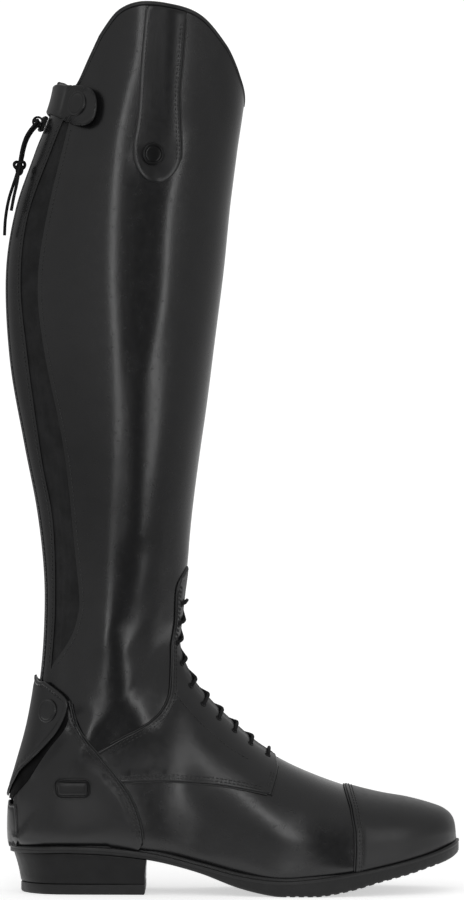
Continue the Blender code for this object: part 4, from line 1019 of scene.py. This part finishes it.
def make_toe_cap():
    """Toe cap with a straight double-stitched edge."""
    turns = np.linspace(-1.0, 1.0, 141)
    seam = np.array(TOE_SEAM)
    low, high = np.full(turns.shape, 4.5), np.full(turns.shape, 8.0)
    for _ in range(40):
        middle = (low + high) / 2
        points = form_point(middle, turns)
        ahead = points[:, 0] > np.interp(-points[:, 2], -seam[:, 1], seam[:, 0])
        low, high = np.where(ahead, middle, low), np.where(ahead, high, middle)
    shares = 1 - np.concatenate([TOE_SHARES, np.linspace(0.11, 1.0, 44)])
    at, turn = high[None, :] * shares[:, None], np.broadcast_to(turns, (len(shares), len(turns)))
    distance = to_line(form_point(at, turn), form_point(high, turns))
    height = FACE * rolled(distance, ROLL)
    for trough in TOE_ROWS:
        height = height - TROUGH * band(distance, trough)
    index = np.arange(at.size).reshape(at.shape)
    index[-1, :] = index[-1, 0]
    count = index[-1, 0] + 1
    top, bottom = (skin(at, turn, outset).reshape(-1, 3)[:count] for outset in (height, -0.3))
    faces = grid_faces(index)
    faces += [[corner + count for corner in reversed(face)] for face in faces]
    for border in (index[0], index[::-1, 0], index[:, -1]):
        faces += [[start, stop, stop + count, start + count] for start, stop in zip(border, border[1:])]
    add_mesh("toe_cap_leather", np.concatenate([top, bottom]), faces, TOE_LEATHER, ["toe_cap"])
    lengths = np.linalg.norm(slopes(high, turns)[1], axis=1)
    keep_seam(np.stack([high + 0.4 / lengths, turns], axis=-1)[3:-3])
    for far in TOE_ROWS:
        sew(np.stack([high - far / lengths, turns], axis=-1)[4:-4], FACE - 0.08)


def round_back(edge, top, bottom, inner=None):
    """Chart outline of a panel that goes round the back between two rows there."""
    other = (mirrored(edge) if inner is None else inner) - (0.0, 2.0)
    return np.concatenate([[(top, -1.0)], edge, [(bottom, -1.0)], other[::-1]])


def flap_outline(line, top, low):
    """Side edge and closed chart outline of a flap round the back between two heights there."""
    edge = stroke(line)
    top_row, low_row = row_of(top, "end_z"), row_of(low, "end_z")
    edge = np.concatenate([chart_run((top_row, -0.99), edge[0], 5)[1:], edge,
                           chart_run(edge[-1], (low_row, -0.99), 9)[1:]])
    return edge, round_back(edge, top_row, low_row)


def tab_lift(x, y):
    """Distance by which the collar tab's outer end stands off the shaft."""
    share = np.clip((x - TAB_LIFT_FROM) / TAB_LIFT_LENGTH, 0.0, 1.2)
    return np.where(y < 0, TAB_LIFT * share ** 1.2, 0.0)


def make_back_stay():
    """Back stay over the counters' seam at the heel."""
    side = stroke(STAY_SIDE)
    top_row = row_of(56.5, "end_z")
    edge = np.concatenate([chart_run((top_row, -0.99), side[0], 6)[1:], side,
                           along_feather(side[-1, 0], 15.9)])
    panel("back_stay_leather", round_back(edge, top_row, HEEL_ROW), FACE, FACE, PANEL_LEATHER,
          ["back_stay"], troughs=(1.8,))


def flare(at, turn, distance):
    """Height of the ankle flap's free lower edge, with a channel for its stitches."""
    low = np.clip((19.2 - at) / 2.0, 0.0, 1.0)
    aside = np.clip(np.abs(np.abs(turn) - 1.0) / 0.25, 0.0, 1.0)
    return (1.0 + 2.6 * aside) * low ** 1.5 - 0.7 * band(distance, FLAP_ROW, CHANNEL_HALF)


def make_ankle_flap():
    """Ankle flap over the zip's lower end, with a very dark sheet past its edge that paints the shade of
    the gap under it.
    """
    _, outline = flap_outline(FLAP_SHADE_EDGE, 119.0, 57.5)
    # Painted shade: a nearly black, dull sheet below the flap's edge stands for the shadow in the gap under
    # the flap
    panel("ankle_flap_painted_shade", outline, COUNTER_FACE + 0.1, 0.5, FLAP_PAINTED_SHADE, [], slot="lining", roll=0.4)
    edge, outline = flap_outline(FLAP_EDGE, 134.0, 58.5)
    panel("ankle_flap_leather", outline, FLAP_RISE, FLAP, PANEL_LEATHER, ["ankle_flap"], shape=flare,
          sink=0.0, roll=0.8, creased=False)
    sew(inset(outline, FLAP_ROW)[3:len(edge) - 3], FLAP_RISE + FLAP - 0.1)


def lapped(at, turn, distance):
    """Height of the collar tab: its outer part laps over the rest and stands off, with a sewn border."""
    points = form_point(at, turn)
    past = points[..., 0] - np.interp(points[..., 2], TAB_LAP[:, 1], TAB_LAP[:, 0])
    border = 0.5 * band(distance, 2.6, CHANNEL_HALF) * step_at(past - 1.5, 0.4)
    return 0.9 * step_at(past, 0.5) - border + tab_lift(points[..., 0], points[..., 1])


def make_collar_tab():
    """Collar tab over the zip's top end."""
    level = LAST[LEVEL_ROW, COLUMN["end_z"]]
    collar = float(collar_height(-1.0)) - 2 * BINDING
    low_row = LEVEL_ROW + (TAB_BACK_LOW - level) / (collar - level)
    outline = round_back(stroke(TAB_EDGE), TOP_ROW - 0.01, low_row, stroke(TAB_EDGE, inner=True))
    panel("collar_tab_leather", outline, TAB_RISE, FLAP, PANEL_LEATHER, ["collar_tab"], shape=lapped,
          sink=0.0, spacing=1.6, creased=False)


def make_strip():
    """Side strip under the collar peak, with a round lower end."""
    edge = stroke(STRIP_EDGE, spacing=2.0)
    top = chart_run((TOP_ROW, edge[-1, 1]), (TOP_ROW, edge[0, 1]), 10)
    outline = np.concatenate([edge, top])
    panel("side_strip_leather", outline, 0.0, STRIP_FACE, PANEL_LEATHER, ["side_strip"], spacing=2.2,
          roll=2.8)
    count = len(edge)
    left, right = int(0.44 * count), int(0.6 * count)
    keep_seam(inset(outline, -0.3)[right:count - 2], 0.2)
    sew(inset(outline, 2.4)[4:left], STRIP_FACE)
    for distance in (1.6, 3.2):
        sew(inset(outline, distance)[right:count - 4], STRIP_FACE)


def spur_ring(distance):
    """Chart ring inside the spur rest's outline, with the same count of points at each distance."""
    left, right, low, high = SPUR_EDGES
    radius = max(SPUR_CORNER - distance, 0.4)
    ends = (left + distance + radius, right - distance - radius)
    levels = (low + distance + radius, high - distance - radius)
    corners = []
    for turn, (x, z) in enumerate(((1, 1), (0, 1), (0, 0), (1, 0))):
        angles = (turn + np.linspace(0.0, 1.0, 7)) * math.pi / 2
        arc = radius * np.stack([np.cos(angles), np.sin(angles)], axis=-1)
        corners.append(np.array((ends[x], levels[z])) + arc)
    points = []
    for corner, after in zip(corners, corners[1:] + corners[:1]):
        points += [corner, chart_run(corner[-1], after[0], 12)[1:]]
    return locate(np.concatenate(points))


def make_spur_rests():
    """Moulded spur rests: a thin border, a groove and a cushioned bar inside it."""
    chart = [(spur_ring(distance), height) for distance, height in SPUR_PROFILE]
    groove = spur_ring(SPUR_GROOVE)
    groove = np.concatenate([groove, groove[:1]])
    for side, label in ((1.0, "outer"), (-1.0, "inner")):
        rings = [skin(ring[:, 0], ring[:, 1] * side, COUNTER_FACE + height) for ring, height in chart]
        ring_loft("spur_rest_" + label + "_rubber", rings, RUBBER, ["spur_rest_" + label], sharp=60.0)
        keep_seam(groove * (1.0, side), COUNTER_FACE + 0.1)


def ribbed(at, turn, distance):
    """Height of the elastic's upright ribs."""
    return RIB_HEIGHT * np.cos(turn * RIBS_ROUND * 2 * math.pi)


def make_elastic():
    """Ribbed elastic gore, let into the shaft, with a stitched leather edge on each side."""
    back, front = stroke(ELASTIC_BACK), stroke(ELASTIC_FRONT)
    outline = np.concatenate([back, front[1:], chart_run(front[-1], back[0], 4)[1:]])
    panel("elastic_gore", outline, ELASTIC_RISE, ELASTIC_THICK, ELASTIC, ["elastic_panel"], shape=ribbed,
          sink=0.2, spacing=1.1, slot="elastic", roll=0.3)
    line = inset(outline, -2.0)
    sew(line[2:len(back) - 2], 0.02)
    sew(line[len(back) + 2:-6], 0.02)


def across_front(at, turn):
    """Chart points laid flat over the instep."""
    points = form_point(at, turn)
    return np.stack([points[:, 1], at * 9.0], axis=-1)


def make_tongue():
    """Tongue behind the laces."""
    rows = np.arange(7.6, 18.75, 0.15)
    left, right = at_y(rows, -TONGUE_HALF), at_y(rows, TONGUE_HALF)
    outline = np.concatenate([left, chart_run(left[-1], right[-1], 12)[1:], right[::-1],
                              chart_run(right[0], left[0], 12)[1:]])
    panel("tongue_leather", outline, -WALL - GAP - TONGUE, TONGUE, EDGE_LEATHER, ["tongue"], sink=0.0,
          flat=across_front)


def make_zip():
    """Zip tape with two rows of teeth in the slot, up to the slider."""
    heights = np.arange(ZIP_LOW + 1.5, ZIP_TOP, TEETH_PITCH)
    chart = locate(np.stack([np.full(heights.shape, ZIP_Y), heights], axis=-1), (1, 2), ZIP_TURNS)
    middle = skin(*chart.T, -0.7)
    frames = frames_on(middle, form_normal(*chart.T))
    section = [(y, lift - 0.2) for y, lift in TAPE_SECTION]
    section += [(y, -0.95) for y, _ in TAPE_SECTION[::-1]]
    rings = []
    for axes in frames:
        side, up, place = axes[:3, 1], axes[:3, 2], axes[:3, 3]
        rings.append(np.array([place + side * y + up * lift for y, lift in section]))
    ring_loft("zip_tape", rings, TAPE, [], slot="zip")
    tooth = [(x, y, z) for x in (-0.45, 0.45) for y in (-1.15, 1.15) for z in (-0.3, 0.45)]
    tooth += [(x, y, 0.62) for x in (-0.25, 0.25) for y in (-0.85, 0.85)]
    faces = [[0, 2, 6, 4], [0, 1, 3, 2], [4, 6, 7, 5], [0, 4, 5, 1], [2, 3, 7, 6],
             [1, 8, 9, 3], [3, 9, 11, 7], [7, 11, 10, 5], [5, 10, 8, 1], [8, 10, 11, 9]]
    aside = np.where(np.arange(len(frames)) % 2, 0.55, -0.55)
    frames[:, :3, 3] += frames[:, :3, 1] * aside[:, None]
    add_mesh("zip_teeth", *stamp(tooth, faces, frames), TEETH, ["zip_chain"], slot="zip")


def dress_slider():
    """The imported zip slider, lacquered."""
    slots = bpy.data.objects["zip_slider"].data.materials
    slots.clear()
    slots.append(LACQUER)


def make_binding():
    """Rolled leather edge along the collar, open at the zip."""
    slot = locate([(ZIP_Y, 490.0)], (1, 2), ZIP_TURNS)[0][1]
    past_back = np.linspace(-1.0, -1.0 + 0.4 * (slot + 1.0), 5)[1:]
    turns = np.concatenate([np.linspace(slot + 0.030, 1.0, 150), past_back])
    points, normals = skin(TOP_ROW, turns), form_normal(TOP_ROW, turns)
    along = np.gradient(points, axis=0)
    up = np.cross(normals, along)
    up *= np.sign(up[:, 2:]) / np.linalg.norm(up, axis=1, keepdims=True)
    line = points - normals * WALL / 2 + up * (2 * GAP + BINDING - 0.4)
    tube("collar_roll", [line], BINDING + 0.2, EDGE_LEATHER, ["collar_binding"], sides=4)


def lace_place(row, y, outset):
    """Point over the throat at a lace row, a distance from the middle and a height."""
    chart = at_y(np.array([row]), y if y else 0.001)
    return skin(chart[0, 0], chart[0, 1], outset)


def make_laces():
    """Criss-cross lace: up through an eyelet, over the facing and under the other edge."""
    rows = row_of(np.array(LACE_HEIGHTS), "front_z")
    over = FACE + 0.8 * LACE
    lines = []
    for place in (0, len(rows) - 1):
        eye = EYELETS_Y[place]
        half = [(eye, -2.5), (eye, 0.6), (eye - 1.5, over - 0.2), ((eye + 4.0) / 2, over), (4.0, over)]
        path = [(-y, outset) for y, outset in half] + [(0.0, over)] + half[::-1]
        lines.append(smooth_line([lace_place(rows[place], y, outset) for y, outset in path], 0.9))
    for place in range(1, len(rows) - 1):
        eye = EYELETS_Y[place]
        for side in (-1, 1):
            crown = -0.2 if (place % 2) == (side > 0) else -1.4
            path = [(eye, -2.5, 0.0), (eye, 0.6, 0.0), (eye - 1.5, over - 0.2, 0.0),
                    ((eye + 4.2) / 2, over, 0.0), (4.2, over, 0.06), (0.0, crown, 0.5),
                    (-3.0, min(crown, -0.4), 0.85), (-4.6, -1.6, 0.95), (-8.0, -3.2, 1.0)]
            step = rows[place + 1] - rows[place]
            points = [lace_place(rows[place] + step * share, side * y, outset) for y, outset, share in path]
            lines.append(smooth_line(points, 0.9))
    tube("lace_braided", lines, LACE, BRAID, ["lace"])


def make_eyelets():
    """Rolled rings of the eyelets on both facings."""
    points = []
    for turn in np.linspace(0, 2 * math.pi, EYELET_STEPS, endpoint=False):
        for around in np.linspace(0, 2 * math.pi, EYELET_SIDES, endpoint=False):
            away = EYELET_RADIUS + EYELET_WIRE * math.cos(around)
            up = 0.8 * EYELET_WIRE * math.sin(around)
            points.append((away * math.cos(turn), away * math.sin(turn), up))
    index = ring_index([EYELET_SIDES] * EYELET_STEPS)
    faces = grid_faces(np.concatenate([index, index[:1]]))
    frames, nodes = [], []
    for side, label in ((-1, "outer"), (1, "inner")):
        for place, row in enumerate(row_of(np.array(LACE_HEIGHTS), "front_z")):
            at, turn = at_y(np.array([row]), side * EYELETS_Y[place])[0]
            matrix = np.array(place_on(at, turn, FACE + 0.05))
            matrix[:3, 3] /= MM
            frames.append(matrix)
            nodes.append(f"eyelet_{label}_{place + 1:02d}")
    add_mesh("eyelet_rings", *stamp(points, faces, frames), LACQUER, nodes, slot="metal")


def make_snaps():
    """Turned press-stud caps: one ringed, two domed, all plain."""
    angles = np.linspace(0, 2 * math.pi, SNAP_STEPS, endpoint=False)
    for name, (place, radius, seat) in SNAPS.items():
        ringed = name == "snap_side"
        profile = [(share * radius, up) for share, up in (SNAP_RING if ringed else SNAP_DOME)]
        profile = smooth_line(profile, 0.35)
        points = [(0.0, 0.0, profile[0, 1])]
        points += [(reach * math.cos(angle), reach * math.sin(angle), up)
                   for reach, up in profile[1:] for angle in angles]
        faces = grid_faces(ring_index([1] + [SNAP_STEPS] * (len(profile) - 1)))
        faces.append([len(points) - 1 - step for step in range(SNAP_STEPS)])
        at, turn = locate([place])[0]
        matrix = place_on(at, turn, seat)
        if name == "snap_tab":
            lift = float(tab_lift(place[0], -1.0)) * MM
            matrix = matrix @ Matrix.Translation((0.0, 0.0, lift))
            turned = Matrix.Rotation(math.radians(-TAB_TILT), 3, "Z") @ matrix.to_3x3()
            matrix = Matrix.Translation(matrix.translation) @ turned.to_4x4()
        matrix = np.array(matrix)
        points = np.array(points) @ matrix[:3, :3].T + matrix[:3, 3] / MM
        metal = LACQUER if ringed else ENAMEL
        add_mesh(name + "_cap", points, faces, metal, [name], slot="metal", sharp=60.0)


def sole_rows(count):
    """The sole's table at many sections, from the heel to the toe."""
    return read_rows(SOLE, np.linspace(len(SOLE) - 1, 0, count))


def sole_outline(inset_by=0.0, spacing=2.0):
    """Closed outline of the sole seen from above, drawn in by a distance."""
    table = sole_rows(400)[::-1]
    outer = table[:, [SOLE_X, SOLE_OUTER]] * (1.0, -1.0)
    inner = table[::-1][:, [SOLE_X, SOLE_INNER]]
    line = even(np.concatenate([outer, inner[1:]]), spacing)[:-1]
    run = np.roll(line, -1, axis=0) - np.roll(line, 1, axis=0)
    run /= np.linalg.norm(run, axis=1, keepdims=True)
    return line + np.stack([run[:, 1], -run[:, 0]], axis=-1) * inset_by


def sole_height(x, column):
    """Height of the welt's top or of the tread by the distance along the foot."""
    table = sole_rows(400)
    return np.maximum(np.interp(x, table[:, SOLE_X], table[:, column]), 0.0)


def make_welt():
    """Welt round the foot: a rounded strip with a groove and a stitch row on its top."""
    heights = sole_height(sole_outline()[:, 0], SOLE_FEATHER) - GAP
    rings = [np.concatenate([sole_outline(reach), heights[:, None] + drop], axis=1)
             for reach, drop in WELT_PROFILE]
    ring_loft("welt_strip", rings, RUBBER, ["welt"], capped=False)
    line = sole_outline(2.4)
    up = sole_height(line[:, 0], SOLE_FEATHER) - GAP - 0.12
    points = np.concatenate([line, up[:, None]], axis=1)
    spaced = even(np.concatenate([points, points[:1]]), WELT_PITCH)
    SEWN.append(frames_on(spaced, np.broadcast_to((0.0, 0.0, 1.0), spaced.shape)))


def outsole_section(x, table):
    """Closed section of the outsole at a distance along the foot."""
    outer = 0.5 - float(np.interp(x, table[:, SOLE_X], table[:, SOLE_OUTER]))
    inner = float(np.interp(x, table[:, SOLE_X], table[:, SOLE_INNER])) - 0.5
    top = float(sole_height(x, SOLE_FEATHER)) - WELT - GAP
    tread = float(sole_height(x, SOLE_TREAD))
    draw = min(1.0, (inner - outer) / 14)
    edge = min(1.8, (top - tread) / 3)
    phase = ((x - RIBS_FROM) / RIB_PITCH) % 1.0
    raised = RIB_DEPTH if RIBS_FROM < x < RIBS_TO and 0.05 < phase < 0.45 else 0.0
    half = [(0.0, top), (0.0, top - 0.4), (0.1, top - 0.8), (0.5 * draw, tread + edge + 0.4),
            (1.1 * draw, tread + 0.5 * edge + 0.5 * raised), (2.4 * draw, tread + raised),
            (6.0 * draw, tread + raised)]
    section = [(x, inner - reach, z) for reach, z in half]
    return np.array(section + [(x, outer + reach, z) for reach, z in half[::-1]])


def make_outsole():
    """Outsole with a rounded edge and a serrated tread under the ball and the toes."""
    table = sole_rows(800)
    plain = table[::5][2:-1, SOLE_X]
    plain = plain[(plain < RIBS_FROM) | (plain > RIBS_TO + 3.0)]
    ribs = [start + share * RIB_PITCH for start in np.arange(RIBS_FROM, RIBS_TO, RIB_PITCH)
            for share in (0.0, 0.1, 0.4, 0.5, 0.75)]
    sections = [outsole_section(x, table) for x in sorted(np.concatenate([plain, ribs]))]
    ring_loft("outsole_tread", sections, TREAD, ["outsole_fore", "outsole_waist"], sharp=35.0)


def heel_outline(depth):
    """Closed outline of the heel at a depth from its top, 0, to its foot, 1."""
    back = SOLE[-1][SOLE_X]
    table = sole_rows(800)
    share = np.linspace(0.0, 1.0, 60) ** 2.2
    x = back + 0.15 + (HEEL_BREAST - back - 0.15) * share
    outer, inner = (np.interp(x, table[:, SOLE_X], table[:, column]) for column in (SOLE_OUTER, SOLE_INNER))
    part = (HEEL_BREAST - x) / (HEEL_BREAST - back)
    top_x, foot_x = x + part * 2.4, x - 1.0 + part * 8.0
    reach = np.minimum(2.2, outer / 5) * (0.5 + 1.5 * depth)
    x = top_x + (foot_x - top_x) * depth
    outer, inner = np.stack([x, reach - outer], axis=-1), np.stack([x, inner - reach], axis=-1)
    line = np.concatenate([outer[::-1], inner])
    breast = np.linspace(line[-1], line[0], 14)[1:-1]
    return np.concatenate([line, breast])


def make_heel():
    """Stacked heel with a slight hollow in its sides, and a top lift with a notched edge."""
    rings = []
    for depth in (0.0, 0.05, 0.2, 0.4, 0.6, 0.8, 0.95, 1.0):
        line = heel_outline(depth)
        outward = line / np.linalg.norm(line, axis=1, keepdims=True)
        top = sole_height(line[:, 0], SOLE_TREAD) - 0.1
        hollow = 0.5 * math.sin(math.pi * depth) + (0.4 if depth in (0.0, 1.0) else 0.0)
        heights = top + (LIFT + 0.1 - top) * depth
        rings.append(np.concatenate([line - outward * hollow, heights[:, None]], axis=1))
    ring_loft("heel_stack", rings, HEEL, ["heel_block"])
    foot = heel_outline(1.0)
    outward = foot / np.linalg.norm(foot, axis=1, keepdims=True)
    rings = [np.concatenate([foot - outward * reach, np.full((len(foot), 1), height)], axis=1)
             for reach, height in LIFT_PROFILE]
    rings[3][:, 2] += np.where(np.arange(len(foot)) % 2, 0.35, 0.0)
    ring_loft("heel_top_lift", rings, TREAD, ["heel_lift"])


def make_insole():
    """Insole inside, dished a little and rounded at its edges."""
    sections = []
    for at in np.concatenate([[1.25, 1.4, 1.7], np.arange(2.0, 14.0, 0.5), [14.0, 14.4, 14.7, 15.0]]):
        value, _ = last_values(at, 0.0)
        low = value["end_z"] + WALL + GAP
        x = value["end_x"] * 0.985 + 0.015 * 95.0
        outer = value["shift"] - value["open_outer"] + 0.6
        inner = value["shift"] + value["open_inner"] - 0.6
        section = [(x, outer, low)]
        for share in np.linspace(0.0, 1.0, 13):
            lift = 3.0 - 0.5 * math.sin(math.pi * share) - (0.6 if share in (0.0, 1.0) else 0.0)
            section.append((x, outer + (inner - outer) * share, low + lift))
        section.append((x, inner, low))
        sections.append(np.array(section))
    ring_loft("insole_bed", sections, LINING, ["insole"], slot="lining")


def make_surround():
    """White backdrop whose light is graded round the boot, above it and below it."""
    scene = bpy.context.scene
    scene.view_settings.view_transform = "Standard"
    world = bpy.data.worlds.new("studio")
    scene.world = world
    world.use_nodes = True
    tree = world.node_tree

    def blend(share, first, second):
        return add_node(tree, "ShaderNodeMix", {0: share, 2: first, 3: second}).outputs[0]

    def work_out(operation, *values):
        return add_node(tree, "ShaderNodeMath", dict(enumerate(values)), operation=operation).outputs[0]

    def rise(value, low, high):
        span = {"Value": value, "From Min": low, "From Max": high}
        return add_node(tree, "ShaderNodeMapRange", span).outputs["Result"]

    place = tree.nodes.new("ShaderNodeTexCoord").outputs["Generated"]
    x, y, z = add_node(tree, "ShaderNodeSeparateXYZ", {"Vector": place}).outputs
    angle = work_out("ARCTAN2", x, work_out("MULTIPLY", y, -1.0))
    share = work_out("MULTIPLY_ADD", angle, 0.5 / math.pi, 0.5)
    ramp = add_node(tree, "ShaderNodeValToRGB", {"Fac": share})
    stops = ramp.color_ramp.elements
    for _ in range(len(SURROUND) - 2):
        stops.new(0.5)
    for stop, (turn, bright) in zip(stops, SURROUND):
        stop.position = (turn + 180) / 360
        stop.color = (bright, bright, bright, 1.0)
    lit = blend(rise(z, *SKY_RISE), ramp.outputs["Color"], SKY)
    lit = blend(work_out("MULTIPLY", rise(z, *GROUND_FALL), GROUND_SHARE), lit, GROUND)
    seen = tree.nodes.new("ShaderNodeLightPath").outputs["Is Camera Ray"]
    fill(tree, tree.nodes["Background"], {"Color": WHITE, "Strength": blend(seen, lit, BACKDROP)})


def make_floor():
    """Plain pale floor."""
    (left, near), (right, far) = FLOOR_LOW, FLOOR_HIGH
    mesh = bpy.data.meshes.new("floor")
    corners = [(left, near, 0), (right, near, 0), (right, far, 0), (left, far, 0)]
    mesh.from_pydata(corners, [], [(0, 1, 2, 3)])
    pale = bpy.data.materials.new("floor_pale")
    pale.use_nodes = True
    fill(pale.node_tree, pale.node_tree.nodes["Principled BSDF"], {
        "Base Color": (0.92, 0.92, 0.92, 1.0), "Roughness": 0.9, "Specular IOR Level": 0.1,
        "Emission Color": WHITE, "Emission Strength": 0.55})
    mesh.materials.append(pale)
    floor = bpy.data.objects.new("floor", mesh)
    bpy.context.scene.collection.objects.link(floor)


def make_strips():
    """Tall soft strips of light beside the camera."""
    for name, (turn, width, low, high, power) in STRIPS.items():
        data = bpy.data.lights.new(name, "AREA")
        data.shape = "RECTANGLE"
        data.size, data.size_y = width, high - low
        data.energy = power
        light = bpy.data.objects.new(name, data)
        angle = math.radians(turn)
        light.location = (STRIP_CENTRE + STRIP_AWAY * math.sin(angle), -STRIP_AWAY * math.cos(angle),
                          (low + high) / 2)
        light.rotation_euler = (math.pi / 2, 0.0, angle)
        light.visible_camera = False
        bpy.context.scene.collection.objects.link(light)


make_camera()
make_cords()
make_upper()
make_counters()
make_quarters()
make_toe_cap()
make_back_stay()
make_ankle_flap()
make_collar_tab()
make_strip()
make_spur_rests()
make_elastic()
make_tongue()
make_zip()
dress_slider()
make_binding()
make_laces()
make_eyelets()
make_snaps()
make_welt()
make_outsole()
make_heel()
make_insole()
make_stitches()
make_surround()
make_floor()
make_strips()
